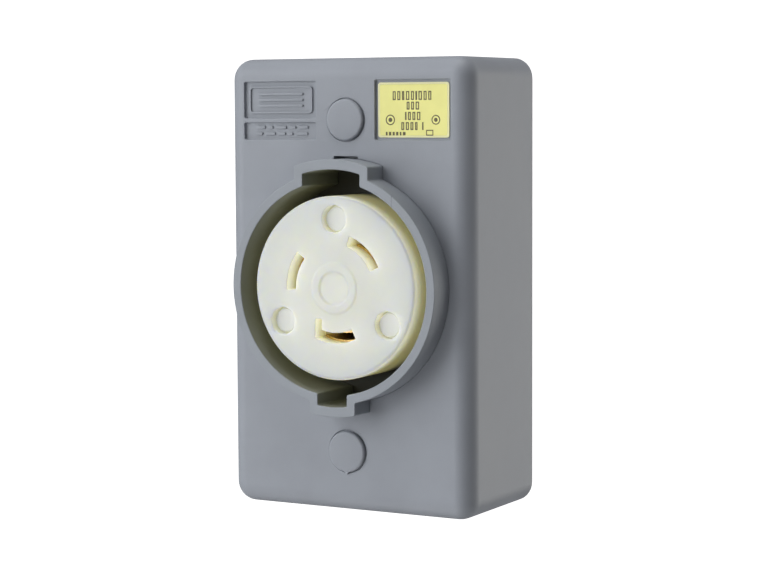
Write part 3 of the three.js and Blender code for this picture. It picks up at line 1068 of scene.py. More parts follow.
def keyed(
    radius: float, reach: float, wide: float, narrow: float, corner: float, notch: Point | None = None
) -> Outline:
    """A round with a wide key at the top and a narrow one at the bottom.

    Args:
        radius: radius of the round.
        reach: radius that the keys reach to.
        wide: half width of the top key.
        narrow: half width of the bottom key.
        corner: rounding of the keys' corners.
        notch: half width and top of a notch over the top key.

    Returns:
        The outline.
    """

    def away(half: float, size: float) -> float:
        """Angle in degrees from the y axis to a key's side."""
        return math.degrees(math.asin(half / size))

    top, bottom = away(wide, radius), away(narrow, radius)
    right = arc_points(radius, -90 + bottom, 90 - top, 60)
    over = arc_points(reach, 90 - away(wide, reach), 90 + away(wide, reach), 14)
    left = arc_points(radius, 90 + top, 270 - bottom, 60)
    under = arc_points(reach, 270 - away(narrow, reach), 270 + away(narrow, reach), 8)
    if notch is not None:
        half, peak = notch
        shelf = away(half, reach)
        side = 90 - away(wide, reach)
        over = arc_points(reach, side, 90 - shelf, 5) + [(half, peak), (-half, peak)]
        over += arc_points(reach, 90 + shelf, 180 - side, 5)
    corners: list[tuple[float, float, float]] = []
    for run in (right, over, left, under):
        last = len(run) - 1
        corners += [(x, y, corner if k in (0, last) else 0.0) for k, (x, y) in enumerate(run)]
    return Outline.cornered(corners, 4)


# ---- Box ---------------------------------------------------------------------------------------


@dataclass
class Housing(Assembly):
    """The deep front cover with its panels, bosses and collar opening."""

    panel_depth: float = 0.8
    boss: float = 6.2
    head_bore: float = 4.3
    cap_seat: float = 5.45
    shank_hole: float = 2.1
    head_seat: float = 28.0
    knockout: float = 11.1
    groove: float = 0.8
    slack: float = 0.06
    notch: Point = (3.45, 32.62)
    panels: dict[str, tuple[float, float, float, float]] = field(
        default_factory=lambda: {
            "upper": (-29.825, 42.1, -8.525, 51.4),
            "lower": (-29.825, 36.7, -8.525, 41.1),
            "label": (8.325, 36.6, 29.525, 51.55),
        }
    )

    def make(self) -> None:
        """Builds the shell in one closed surface, then cuts the knockout grooves."""
        skin = Skin()
        front, back = S.depth, S.back
        outer = Outline.rectangle(-S.width / 2, -S.height / 2, S.width / 2, S.height / 2, S.corner)
        inner_edge = S.edge - S.side_wall
        half_w, half_h = S.width / 2 - S.side_wall, S.height / 2 - S.side_wall
        inner = Outline.rectangle(-half_w, -half_h, half_w, half_h, S.corner - S.side_wall)
        outside = quarter(0.0, 0.25, 0.0, -0.25, 3)[::-1]
        outside += quarter(0.0, front - S.edge, front, -S.edge, 14)
        rim, face = skin.sweep(outer, outside)
        inside = quarter(0.0, 0.25, 0.0, 0.25, 3)[::-1]
        inside += quarter(0.0, back - inner_edge, back, -inner_edge, 6)
        inner_rim, ceiling = skin.sweep(inner, inside)
        skin.flat(rim, [inner_rim])
        wide, narrow = S.wide + S.key_side + self.slack, S.narrow + S.key_side + self.slack
        opening = keyed(S.collar + self.slack, S.bump + self.slack, wide, narrow, 0.5, self.notch)
        way_in, way_out = skin.sweep(opening, [(0.0, back)] + quarter(0.0, front - 0.1, front, 0.1, 3))
        front_holes, back_holes = [way_out], [way_in]
        for side in (1, -1):
            seat, foot = self._boss(skin, side * S.screw_y)
            front_holes.append(seat)
            back_holes.append(foot)
        for left, low, right, high in self.panels.values():
            front_holes.append(self._panel(skin, Outline.rectangle(left, low, right, high, 0.5)))
        skin.flat(face, front_holes)
        skin.flat(ceiling, back_holes)
        piece = link("box_shell", skin.mesh("box_shell"))
        for side in (1, -1):
            self._knockout(piece, side)
        polish(piece)
        self.shop.fit(piece, Wear.BOX, "cover", "front_housing")
        self._marks()

    def _boss(self, skin: Skin, y: float) -> tuple[Ring, Ring]:
        """A screw boss from its cap seat to its foot; returns the rings in the front and inner faces.

        Args:
            skin: the surface to add to.
            y: height of the screw up the wall.

        Returns:
            The rings in the front face and in the inner face.
        """
        low = S.strap_front + 0.3
        profile = [
            (self.cap_seat + 0.2, S.depth),
            (self.cap_seat + 0.06, S.depth - 0.06),
            (self.cap_seat, S.depth - 0.2),
            (self.cap_seat, S.depth - 0.4),
            (self.head_bore + 0.1, S.depth - 0.4),
            (self.head_bore, S.depth - 0.5),
            (self.head_bore, self.head_seat),
            (self.shank_hole + 0.1, self.head_seat),
            (self.shank_hole, self.head_seat - 0.1),
            (self.shank_hole, low),
            (self.boss - 0.25, low),
            (self.boss, low + 0.25),
            (self.boss, S.back - 0.6),
            (self.boss + 0.2, S.back - 0.2),
            (self.boss + 0.6, S.back),
        ]
        return skin.lathe(profile, 0.0, y, 72)

    def _panel(self, skin: Skin, outline: Outline) -> Ring:
        """A shallow panel with a floor; returns its ring in the front face.

        Args:
            skin: the surface to add to.
            outline: the panel's outline.

        Returns:
            Its ring in the front face.
        """
        floor = S.depth - self.panel_depth
        down = quarter(0.0, S.depth - 0.18, S.depth, 0.18, 3)[::-1]
        down += quarter(0.0, floor + 0.15, floor, -0.15, 3)
        rim, bed = skin.sweep(outline, down)
        skin.flat(bed)
        return rim

    def _knockout(self, piece: bpy.types.Object, side: int) -> None:
        """Cuts a knockout's groove into the top or bottom wall.

        Args:
            piece: the mesh object.
            side: 1 for the top wall and -1 for the bottom one.
        """
        skin = Skin()
        low, high = S.height / 2 - S.side_wall + 1.0, S.height / 2 + 1.0
        island = self.knockout - self.groove
        outer = skin.lathe([(self.knockout, low), (self.knockout, high)], steps=96)
        inner = skin.lathe([(island, low), (island, high)], steps=96)
        for end in (0, 1):
            skin.wall(outer[end], inner[end])
        skin.spots = [(x, side * z, S.depth / 2 + y) for x, y, z in skin.spots]
        carve(piece, skin)

    def _marks(self) -> None:
        """Plain raised marks in the two left panels: a frame with bars, and two rows of dashes."""
        skin = Skin()
        floor = S.depth - self.panel_depth + 0.02
        top = floor + 0.4
        left, low, right, high = self.panels["upper"]
        frame_edge = Outline.rectangle(left + 1.3, low + 1.2, right - 1.3, high - 1.2, 1.0)
        frame_hole = Outline.rectangle(left + 1.75, low + 1.65, right - 1.75, high - 1.65, 0.7)
        skin.slab(frame_edge, floor, top, 0.12, [frame_hole])
        for row in range(3):
            y = low + 3.2 + 1.45 * row
            bar = Outline.rectangle(left + 4.0, y - 0.3, left + 17.2, y + 0.3, 0.25)
            skin.slab(bar, floor, top, 0.12)
        left, low, right, high = self.panels["lower"]
        for row, dashes in ((2.75, (2.6, 1.5, 3.2, 2.0, 2.8)), (1.15, (1.8, 3.0, 2.2, 1.4, 3.6))):
            x = left + 3.3
            for dash in dashes:
                bar = Outline.rectangle(x, low + row, x + dash, low + row + 0.75, 0.2)
                skin.slab(bar, floor, floor + 0.3, 0.1)
                x += dash + 0.8
        self.shop.finish("panel_marks", skin, Wear.BOX, "cover")


@dataclass
class Collar(Assembly):
    """The keyed safety shroud."""

    inner_end: float = 24.9

    def make(self) -> None:
        """Builds the collar and its flange behind the box's face."""
        skin = Skin()
        outside = keyed(S.collar, S.bump, S.wide + S.key_side, S.narrow + S.key_side, 0.55)
        inside = keyed(S.bore, S.key, S.wide, S.narrow, 0.45)
        half_w, half_h = S.width / 2 - S.side_wall - 1.6, S.screw_y - 6.2 - 0.6
        plate = Outline.rectangle(-half_w, -half_h, half_w, half_h, S.corner)
        high, low = S.back - 0.3, S.back - 2.3
        foot, under = skin.sweep(outside, [(-0.2, self.inner_end), (0.0, self.inner_end + 0.2), (0.0, low)])
        lip = S.collar_lip
        over, mouth = skin.sweep(outside, [(0.0, high)] + quarter(0.0, S.mouth - lip, S.mouth, -lip, 5))
        bottom, top = skin.sweep(plate, eased(low, high, 0.3))
        walls = [(0.2, self.inner_end), (0.0, self.inner_end + 0.2)]
        walls += quarter(0.0, S.mouth - lip, S.mouth, lip, 5)
        bore_foot, bore_mouth = skin.sweep(inside, walls)
        skin.flat(bottom, [under])
        skin.flat(top, [over])
        skin.flat(foot, [bore_foot])
        skin.flat(mouth, [bore_mouth])
        self.shop.finish("keyed_collar", skin, Wear.COLLAR, "cover", "safety_shroud")


@dataclass
class ScrewCap(Assembly):
    """A press-in cap with a crowned edge and a split skirt."""

    place: str
    side: int
    radius: float = 5.19
    proud: float = 0.9
    crown: float = 0.62
    skirt_bore: float = 3.2
    skirt: float = 4.05
    skirt_end: float = 31.05
    slit: float = 0.6
    nub: bool = False

    def make(self) -> None:
        """Turns the cap, adds its nub where the gate was, and splits the skirt."""
        y = self.side * S.screw_y
        top = S.depth + self.proud
        under = S.depth - 0.25
        skin = Skin()
        profile = [(self.skirt_bore, under - 0.02), (self.skirt_bore, self.skirt_end)]
        profile += [(self.skirt, self.skirt_end), (self.skirt, under)]
        profile += [(self.radius - 0.1, under), (self.radius, under + 0.1)]
        turns = [math.pi / 2 * k / 7 for k in range(8)]
        waist = top - self.crown * 0.85
        flat = self.radius - self.crown
        rise = top - 0.05 - waist
        profile += [(flat + self.crown * math.cos(t), waist + rise * math.sin(t)) for t in turns]
        profile += [(self.radius * 0.6, top - 0.02), (self.radius * 0.3, top)]
        skin.turned(profile, 0.0, y, 80)
        name = f"cap_{self.place}"
        piece = link(name, skin.mesh(name))
        for turn in (45.0, 135.0):
            slit = Skin()
            bar = Outline.rectangle(-5.0, -self.slit, 5.0, self.slit).turned(turn).moved(0.0, y)
            slit.prism(bar, self.skirt_end - 1.0, under - 0.5)
            carve(piece, slit)
        polish(piece)
        if self.nub:
            self._join_nub(piece, y, top)
        self.shop.fit(piece, Wear.BOX, name, f"screw_cap_{self.place}")

    def _join_nub(self, piece: bpy.types.Object, y: float, top: float) -> None:
        """Adds the small point at the cap's lower edge.

        Args:
            piece: the mesh object.
            y: height of the cap's middle up the wall.
            top: height of the cap's crown.
        """
        tip = y - self.radius - 0.72
        shoulder = y - self.radius + 0.35
        corners = [(-0.95, shoulder, 0.0), (0.0, tip, 0.18), (0.95, shoulder, 0.0)]
        skin = Skin()
        skin.slab(Outline.cornered(corners, 4), S.depth + 0.15, top - 0.32, 0.1)
        work = bmesh.new()
        work.from_mesh(piece.data)
        work.from_mesh(skin.mesh("nub"))
        work.to_mesh(piece.data)
        work.free()


@dataclass
class RatingLabel(Assembly):
    """A yellow film label with plain bars and rings in place of print."""

    left: float = 9.025
    low: float = 37.3
    right: float = 28.825
    high: float = 50.85
    stroke: float = 0.3

    def make(self) -> None:
        """Builds the film, its lighter rim and its print."""
        floor = S.depth - 0.75
        film, rim, ink = Skin(), Skin(), Skin()
        edge = Outline.rectangle(self.left, self.low, self.right, self.high, 0.7)
        left, right = self.left + 0.55, self.right - 0.55
        inner = Outline.rectangle(left, self.low + 0.5, right, self.high - 0.5, 0.5)
        film.slab(inner, floor, floor + 0.19, 0.04)
        rim.slab(edge, floor, floor + 0.2, 0.06, [Outline(inner.grown(0.02))])
        self._print(ink, floor + 0.185)
        self.shop.finish("label_film", film, Wear.LABEL, "cover", "rating_label")
        self.shop.finish("label_rim", rim, Wear.RIM, "cover")
        self.shop.finish("label_print", ink, Wear.PRINT, "cover")

    def _print(self, skin: Skin, low: float) -> None:
        """Rows of plain bars, as (left, top, height, widths), and two plain rings and a square.

        Args:
            skin: the surface to add to.
            low: height of the print's underside.
        """
        high = low + 0.02
        rows = [
            (4.0, 2.16, 2.2, (1.1, 1.1, 0.9, 1.2, 1.1, 0.6, 1.2, 1.1, 1.1)),
            (7.9, 4.75, 1.95, (1.05, 1.05, 1.2)),
            (7.5, 7.25, 2.0, (0.55, 1.05, 1.05, 1.2)),
            (6.4, 9.75, 1.95, (1.05, 1.1, 1.05, 0.95)),
            (12.25, 9.75, 1.95, (0.5,)),
            (2.1, 12.15, 0.85, (0.6, 0.9, 0.7, 0.9, 0.6, 1.0)),
        ]
        for left, down, tall, widths in rows:
            x = self.left + left
            y = self.high - down - tall
            for width in widths:
                inset = 0.12 if width > 0.8 else 0.06
                bar = Outline.rectangle(x + inset, y, x + width - inset, y + tall, 0.1)
                holes = []
                if width > 0.8 and tall > 1.5:
                    edge = inset + self.stroke
                    low_y, high_y = y + self.stroke, y + tall - self.stroke
                    holes = [Outline.rectangle(x + edge, low_y, x + width - edge, high_y, 0.05)]
                skin.slab(bar, low, high, 0.004, holes)
                x += width + 0.2
        for x, down, radius in ((3.45, 9.2, 1.3), (16.1, 9.2, 1.2)):
            centre = (self.left + x, self.high - down)
            hole = Outline.circle(radius - 0.28, *centre, 32)
            skin.slab(Outline.circle(radius, *centre, 32), low, high, 0.004, [hole])
            skin.slab(Outline.circle(radius * 0.42, *centre, 24), low, high, 0.004)
        x, y = self.left + 13.4, self.high - 13.05
        square = Outline.rectangle(x, y, x + 2.0, y + 1.4, 0.1)
        hole = Outline.rectangle(x + 0.25, y + 0.25, x + 1.75, y + 1.15, 0.05)
        skin.slab(square, low, high, 0.004, [hole])


@dataclass
class Base(Assembly):
    """The plate against the wall, with its posts, screw holes and wire entries."""

    post: float = 4.6
    pilot: float = 2.1
    wall_hole: float = 2.4
    sink: float = 4.2
    hole_y: float = 31.5
    entry: float = 11.1
    entry_x: float = 17.525
    entry_y: float = -40.5

    def make(self) -> None:
        """Builds the plate in one closed surface, with the closed knockout's groove."""
        skin = Skin()
        half_w, half_h = S.width / 2 - S.side_wall - 0.3, S.height / 2 - S.side_wall - 0.3
        plate = Outline.rectangle(-half_w, -half_h, half_w, half_h, S.corner - S.side_wall - 0.3)
        back, front = skin.sweep(plate, eased(0.0, S.base, 0.3))
        back_holes: list[Ring] = []
        front_holes: list[Ring] = []
        for side in (1, -1):
            front_holes.append(self._post(skin, side * S.screw_y))
            low, high = skin.lathe(
                [
                    (self.wall_hole + 0.25, 0.0),
                    (self.wall_hole, 0.25),
                    (self.wall_hole, S.base - 1.0),
                    (self.sink, S.base - 1.0),
                    (self.sink, S.base - 0.2),
                    (self.sink + 0.2, S.base),
                ],
                0.0,
                side * self.hole_y,
                48,
            )
            back_holes.append(low)
            front_holes.append(high)
        low, high = skin.sweep(
            Outline.circle(self.entry, self.entry_x, self.entry_y, 96), eased(0.0, S.base, 0.3, 1.0)
        )
        back_holes.append(low)
        front_holes.append(high)
        front_holes.append(self._knockout(skin))
        skin.flat(back, back_holes)
        skin.flat(front, front_holes)
        self.shop.finish("wall_plate", skin, Wear.BOX, "base", "base_plate")

    def _post(self, skin: Skin, y: float) -> Ring:
        """A hollow post; returns its ring in the plate's front face.

        Args:
            skin: the surface to add to.
            y: height of the post up the wall.

        Returns:
            Its ring in the plate's front face.
        """
        profile = [
            (self.post + 0.8, S.base),
            (self.post + 0.2, S.base + 0.2),
            (self.post, S.base + 0.8),
            (self.post, S.shoulder - 0.25),
            (self.post - 0.25, S.shoulder),
            (self.pilot + 0.3, S.shoulder),
            (self.pilot, S.shoulder - 0.3),
            (self.pilot, 4.0),
        ]
        root, floor = skin.lathe(profile, 0.0, y, 56)
        skin.flat(floor)
        return root

    def _knockout(self, skin: Skin) -> Ring:
        """The closed knockout: a groove round a disc; returns the groove's outer ring.

        Args:
            skin: the surface to add to.

        Returns:
            The groove's outer ring.
        """
        centre = (-self.entry_x, self.entry_y)
        outer, inner = self.entry, self.entry - 0.8
        profile = [
            (outer + 0.15, S.base),
            (outer, S.base - 0.15),
            (outer, 1.0),
            (inner, 1.0),
            (inner, S.base - 0.15),
            (inner - 0.15, S.base),
        ]
        rim, island = skin.lathe(profile, *centre, 96)
        skin.flat(island)
        return rim


# ---- Receptacle --------------------------------------------------------------------------------


@dataclass
class Drum(Assembly):
    """The white receptacle face with its slots, counterbores and faint hub."""

    skin_depth: float = 5.0
    edge: float = 0.9
    screw_seat: float = 35.45

    def make(self) -> None:
        """Builds the drum in one closed surface."""
        skin = Skin()
        top = S.drum_front
        pocket_top = top - self.skin_depth
        outer = Outline.circle(S.drum, steps=160)
        profile = quarter(0.0, S.foot + 0.2, S.foot, -0.2, 2)[::-1]
        profile += quarter(0.0, top - self.edge, top, -self.edge, 8)
        bottom, face = skin.sweep(outer, profile)
        face_holes: list[Ring] = []
        foot_holes: list[Ring] = []
        for pole in Pole:
            low, ceiling = skin.sweep(pole.pocket(0.3), [(0.0, S.foot), (0.0, pocket_top)])
            lead = quarter(0.0, top - 0.22, top, 0.22, 4)
            down, up = skin.sweep(self.slot(pole), [(0.0, pocket_top)] + lead)
            skin.flat(ceiling, [down])
            foot_holes.append(low)
            face_holes.append(up)
        for angle in PLUG_ANGLES:
            low, high = skin.lathe(
                [
                    (S.screw_hole, S.foot),
                    (S.screw_hole, self.screw_seat),
                    (S.plug_bore, self.screw_seat),
                    (S.plug_bore, top - 0.22),
                    (S.plug_bore + 0.07, top - 0.07),
                    (S.plug_bore + 0.22, top),
                ],
                *on_circle(S.plug_circle, angle),
                56,
            )
            foot_holes.append(low)
            face_holes.append(high)
        rise = [(6.75, 0.0), (6.55, 0.04), (6.35, 0.12), (6.15, 0.17), (5.95, 0.19), (4.55, 0.19)]
        rise += [(4.35, 0.14), (4.15, 0.0), (3.95, -0.1), (3.7, -0.15)]
        hub, dimple = skin.lathe([(radius, top + height) for radius, height in rise], steps=80)
        skin.flat(dimple)
        face_holes.append(hub)
        skin.flat(face, face_holes)
        skin.flat(bottom, foot_holes)
        self.shop.finish("white_drum", skin, Wear.NYLON, "device", "receptacle_face")

    @staticmethod
    def slot(pole: Pole) -> Outline:
        """The blade slot of one pole; the ground slot has a leg turned in towards the middle.

        Args:
            pole: which blade slot.

        Returns:
            The slot's outline.
        """
        start, end = pole.value
        if pole is not Pole.GROUND:
            return Outline.sector(S.slot_inner, S.slot_outer, start, end, 0.25)
        rim = arc_points(S.slot_outer, start, end, 20)
        left = rim[0][0] + 0.15
        right = left + 1.75
        inner_end = math.degrees(math.atan2(-math.sqrt(S.slot_inner**2 - right**2), right))
        bore = arc_points(S.slot_inner, end, inner_end, 16)
        corners = [(*p, 0.25 if k == len(rim) - 1 else 0.0) for k, p in enumerate(rim)]
        corners += [(*p, 0.25 if k == 0 else 0.0) for k, p in enumerate(bore)]
        corners += [(right, -7.75, 0.25), (left, -7.75, 0.25)]
        return Outline.cornered(corners, 3)


@dataclass
class FacePlug(Assembly):
    """A small nylon plug in one of the drum's counterbores."""

    number: int
    angle: float
    low: float = 38.1
    step: float = 39.0
    foot: float = 3.3
    gap: float = 0.42
    crown: float = 0.4

    def make(self) -> None:
        """Turns the plug with its raised head."""
        low, step, foot, head = self.low, self.step, self.foot, S.plug_bore - self.gap
        profile = [(foot - 0.1, low), (foot, low + 0.1), (foot, step - 0.1), (foot - 0.1, step)]
        profile += [(head + 0.05, step), (head, step + 0.05)]
        turns = [math.pi / 2 * k / 6 for k in range(7)]
        crown = self.crown
        across, up = head - crown, S.plug_front - crown
        profile += [(across + crown * math.cos(t), up + crown * math.sin(t)) for t in turns]
        skin = Skin()
        skin.turned(profile, *on_circle(S.plug_circle, self.angle), 48)
        self.shop.finish(
            f"nylon_plug_{self.number}", skin, Wear.PLUG, "device", f"face_plug_{self.number}"
        )


@dataclass
class Rear(Assembly):
    """The parts behind the drum: socket ring, strap, body and rear cap."""

    body_radius: float = 24.5
    body_back: float = 6.9
    neck: float = 20.6
    ring: float = 27.5
    ear: float = 8.0
    ear_end: float = 5.3
    ear_corner: float = 3.0
    pocket_floor: float = 17.05
    chamber_inner: float = 13.05
    chamber_half: float = 4.4
    chamber_top: float = 18.85
    body_wall: float = 2.2
    port: float = 2.4
    port_height: float = 12.55
    driver_hole: float = 2.7
    cap_back: float = 4.6
    cap_front: float = 6.6

    def make(self) -> None:
        """Builds the rear parts one by one."""
        self._socket_ring()
        self._strap()
        self._body()
        self._rear_cap()

    def _socket_ring(self) -> None:
        """The ring-shaped floor of the socket."""
        skin = Skin()
        hole = Outline.circle(S.drum + 0.03, steps=160)
        skin.slab(Outline.circle(S.key + 0.6, steps=128), S.foot, S.floor, 0.04, [hole])
        # The socket floor's dark grey is painted shade with a painted reflection of the nylon.
        self.shop.finish("socket_floor", skin, Wear.SOCKET, "device", "socket_ring")

    def _strap(self) -> None:
        """The steel strap: a ring with two slotted ears."""
        ring, ear, end, corner = self.ring, self.ear, S.screw_y + self.ear_end, self.ear_corner
        away = math.degrees(math.asin(ear / ring))
        corners = [(ear, -end, corner), (ear, -ring * math.cos(math.radians(away)), 0.6)]
        corners += [(*p, 0.0) for p in arc_points(ring, -90 + away, 90 - away, 60)[1:-1]]
        corners += [(ear, ring * math.cos(math.radians(away)), 0.6), (ear, end, corner), (-ear, end, corner)]
        corners += [(-ear, ring * math.cos(math.radians(away)), 0.6)]
        corners += [(*p, 0.0) for p in arc_points(ring, 90 + away, 270 - away, 60)[1:-1]]
        corners += [(-ear, -ring * math.cos(math.radians(away)), 0.6), (-ear, -end, corner)]
        outline = Outline.cornered(corners, 6)
        slot = Outline.rectangle(-3.3, -2.1, 3.3, 2.1, 2.09)
        slots = [slot.moved(0.0, side * S.screw_y) for side in (1, -1)]
        skin = Skin()
        holes = [Outline.circle(self.neck + 0.3, steps=112), *slots]
        skin.slab(outline, S.strap_back, S.strap_front, 0.2, holes)
        self.shop.finish("steel_strap", skin, Wear.ZINC, "device", "mounting_strap")

    def _body(self) -> None:
        """The dark body, turned and then cut for its pockets, chambers, ports and screws."""
        back, shoulder, front = self.body_back, S.shoulder, S.foot - 0.3
        skin = Skin()
        profile = [
            (self.body_radius - 0.4, back),
            (self.body_radius, back + 0.4),
            (self.body_radius, shoulder - 0.4),
            (self.body_radius - 0.4, shoulder),
            (self.neck, shoulder),
            (self.neck, front - 0.2),
            (self.neck - 0.2, front),
        ]
        skin.turned(profile, steps=112)
        piece = link("dark_body", skin.mesh("dark_body"))
        for pole in Pole:
            cut_through(piece, pole.pocket(0.0), self.pocket_floor, front + 1.0)
            half, end = self.chamber_half, self.body_radius - self.body_wall
            room = Outline.rectangle(self.chamber_inner, -half, end, half).turned(pole.middle)
            cut_through(piece, room, back - 1.0, self.chamber_top)
            self._port(piece, pole.middle)
        for angle in PLUG_ANGLES:
            hole = Outline.circle(S.screw_hole, *on_circle(S.plug_circle, angle), 32)
            cut_through(piece, hole, back - 1.0, front + 1.0)
        ease_edges(piece, 0.18)
        polish(piece)
        self.shop.fit(piece, Wear.THERMOSET, "device", "receptacle_body")

    def _port(self, piece: bpy.types.Object, degrees: float) -> None:
        """Cuts the round wire port of one chamber, level with its open clamp.

        Args:
            piece: the mesh object.
            degrees: direction of the port.
        """
        skin = Skin()
        start = S.terminal_circle
        skin.turned([(self.port, start), (self.port, start + self.body_radius)], steps=32)
        c, s = math.cos(math.radians(degrees)), math.sin(math.radians(degrees))
        skin.spots = [(z * c - y * s, z * s + y * c, self.port_height - x) for x, y, z in skin.spots]
        carve(piece, skin)

    def _rear_cap(self) -> None:
        """The disc that closes the body, with driver holes and screw holes."""
        spots = [on_circle(S.terminal_circle, pole.middle) for pole in Pole]
        holes = [Outline.circle(self.driver_hole, *spot, 40) for spot in spots]
        spots = [on_circle(S.plug_circle, angle) for angle in PLUG_ANGLES]
        holes += [Outline.circle(S.screw_hole, *spot, 32) for spot in spots]
        skin = Skin()
        skin.slab(Outline.circle(self.body_radius, steps=112), self.cap_back, self.cap_front, 0.3, holes)
        self.shop.finish("dark_rear_cap", skin, Wear.THERMOSET, "device", "rear_cap")


# ---- Screws ------------------------------------------------------------------------------------


@dataclass
class Screw(Assembly):
    """A turned screw with a cut thread and a driver recess."""

    name: str
    node: str
    body: str
    x: float
    y: float
    shank: float
    tip: float
    head_low: float
    head: Profile
    pitch: float = 0.794
    cross: bool = False
    recess: float = 1.1

    def make(self) -> None:
        """Builds thread and head as one surface and cuts the recess."""
        skin = Skin()
        crown = self.head[-1][1]
        sign = 1.0 if crown > self.tip else -1.0
        seat, top = skin.lathe(self.head, self.x, self.y, 48)
        skin.flat(top)
        self._thread(skin, sign, seat)
        piece = link(self.name, skin.mesh(self.name))
        bars = (0.0, 90.0) if self.cross else (0.0,)
        reach = self.head[0][0] * (0.62 if self.cross else 1.3)
        for turn in bars:
            bar = Outline.rectangle(-reach, -0.45, reach, 0.45).turned(turn).moved(self.x, self.y)
            cut_through(piece, bar, *sorted((crown - sign * self.recess, crown + sign)))
        polish(piece, 32.0)
        self.shop.fit(piece, Wear.ZINC, self.body, self.node)

    def _thread(self, skin: Skin, sign: float, seat: Ring) -> None:
        """A helical thread from the tip to the head's seat, on a round grid.

        Args:
            skin: the surface to add to.
            sign: 1 where the head faces out of the wall, else -1.
            seat: the head's lowest ring, which the thread runs up to.
        """
        around = 48
        length = abs(self.head_low - self.tip)
        rows = max(8, int(length / self.pitch * 8))
        plain = 1.6
        previous: Ring | None = None
        for row in range(rows + 1):
            run = length * row / rows
            z = self.tip + sign * run
            point = min(1.0, 0.62 + run / 1.3 * 0.38)
            points = []
            for k in range(around):
                turn = 2 * math.pi * k / around
                phase = (run / self.pitch - sign * k / around) % 1.0
                ridge = abs(phase - 0.5) * 2
                cut = 0.24 * ridge if run < length - plain else 0.0
                radius = (self.shank - cut) * point
                points.append((self.x + radius * math.cos(turn), self.y + radius * math.sin(turn)))
            ring = skin.ring(points, z)
            if previous is None:
                skin.flat(ring)
            else:
                skin.wall(previous, ring)
            previous = ring
        if previous is not None:
            skin.wall(previous, seat)


def dome(seat: float, radius: float, height: float, sign: float, steps: int = 8) -> list[Point]:
    """A pan head's profile from its underside to its crown.

    Args:
        seat: height of the head's underside.
        radius: the head's radius.
        height: the head's height.
        sign: 1 where the head faces out of the wall, else -1.
        steps: sides of the rounding.

    Returns:
        (radius, height) pairs.
    """
    low = 0.35 * height
    rise = [(radius - 0.12, seat), (radius, seat + sign * 0.12), (radius, seat + sign * low)]
    turns = [math.pi / 2 * k / steps for k in range(1, steps + 1)]
    bend = min(height - low, radius * 0.45)
    span = height - low
    rise += [(radius - bend + bend * math.cos(t), seat + sign * (low + span * math.sin(t))) for t in turns]
    return rise


@dataclass
class Fasteners(Assembly):
    """All screws, and the clamps of the terminals."""

    long_shank: float = 1.75
    drum_shank: float = 1.6
    wire_shank: float = 1.95
    clamp_inner: float = 14.9
    clamp_outer: float = 20.5
    clamp_half: float = 3.8
    clamp_low: float = 11.12
    clamp_high: float = 12.58
    clamp_hole: float = 2.3

    def make(self) -> None:
        """Builds the long cover screws, the assembly screws and the terminals."""
        for place, side in (("upper", 1), ("lower", -1)):
            node, head = f"cover_screw_{place}", dome(seat=28.15, radius=3.8, height=2.4, sign=1.0)
            spot = (0.0, side * S.screw_y)
            self._screw(f"long_screw_{place}", node, f"screw_{place}", spot, self.long_shank, 6.0, head, True)
        for number, angle in enumerate(PLUG_ANGLES, 1):
            node, head = f"assembly_screw_{number}", dome(seat=35.6, radius=3.0, height=2.2, sign=1.0)
            spot = on_circle(S.plug_circle, angle)
            self._screw(f"drum_screw_{number}", node, "device", spot, self.drum_shank, 5.2, head)
        for pole in Pole:
            word, head = pole.word, dome(seat=9.2, radius=3.2, height=2.2, sign=-1.0)
            spot = on_circle(S.terminal_circle, pole.middle)
            node = f"{word}_terminal_screw"
            self._screw(f"{word}_wire_screw", node, f"{word}_screw", spot, self.wire_shank, 17.175, head)
            self._clamp(pole)

    def _screw(
        self,
        name: str,
        node: str,
        body: str,
        spot: Point,
        shank: float,
        tip: float,
        head: Profile,
        cross: bool = False,
    ) -> None:
        """Makes one screw.

        Args:
            name: the piece's name.
            node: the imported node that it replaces.
            body: the body it moves with.
            spot: place of its axis.
            shank: radius over the thread.
            tip: height of its point.
            head: (radius, height) pairs from the head's underside to its crown.
            cross: whether the driver recess is a cross.
        """
        Screw(self.shop, name, node, body, *spot, shank, tip, head[0][1], head, cross=cross).make()

    def _clamp(self, pole: Pole) -> None:
        """Makes a terminal's clamp plate and dresses its contact.

        Args:
            pole: the terminal's pole.
        """
        word = pole.word
        skin = Skin()
        half = self.clamp_half
        plate = Outline.rectangle(self.clamp_inner, -half, self.clamp_outer, half, 0.5)
        hole = Outline.circle(self.clamp_hole, *on_circle(S.terminal_circle, pole.middle), 40)
        skin.slab(plate.turned(pole.middle), self.clamp_low, self.clamp_high, 0.15, [hole])
        self.shop.finish(f"{word}_wire_clamp", skin, Wear.ZINC, f"{word}_jaw", f"{word}_clamp")
        self.shop.dress(f"{word}_contact", Wear.BRASS)


# ---- Stage -------------------------------------------------------------------------------------


@dataclass(frozen=True)
class Panel:
    """A soft light: where it stands, what it faces, its size and its power."""

    name: str
    place: tuple[float, float, float]
    size: float
    power: float
    tint: Colour = (1.0, 1.0, 1.0)


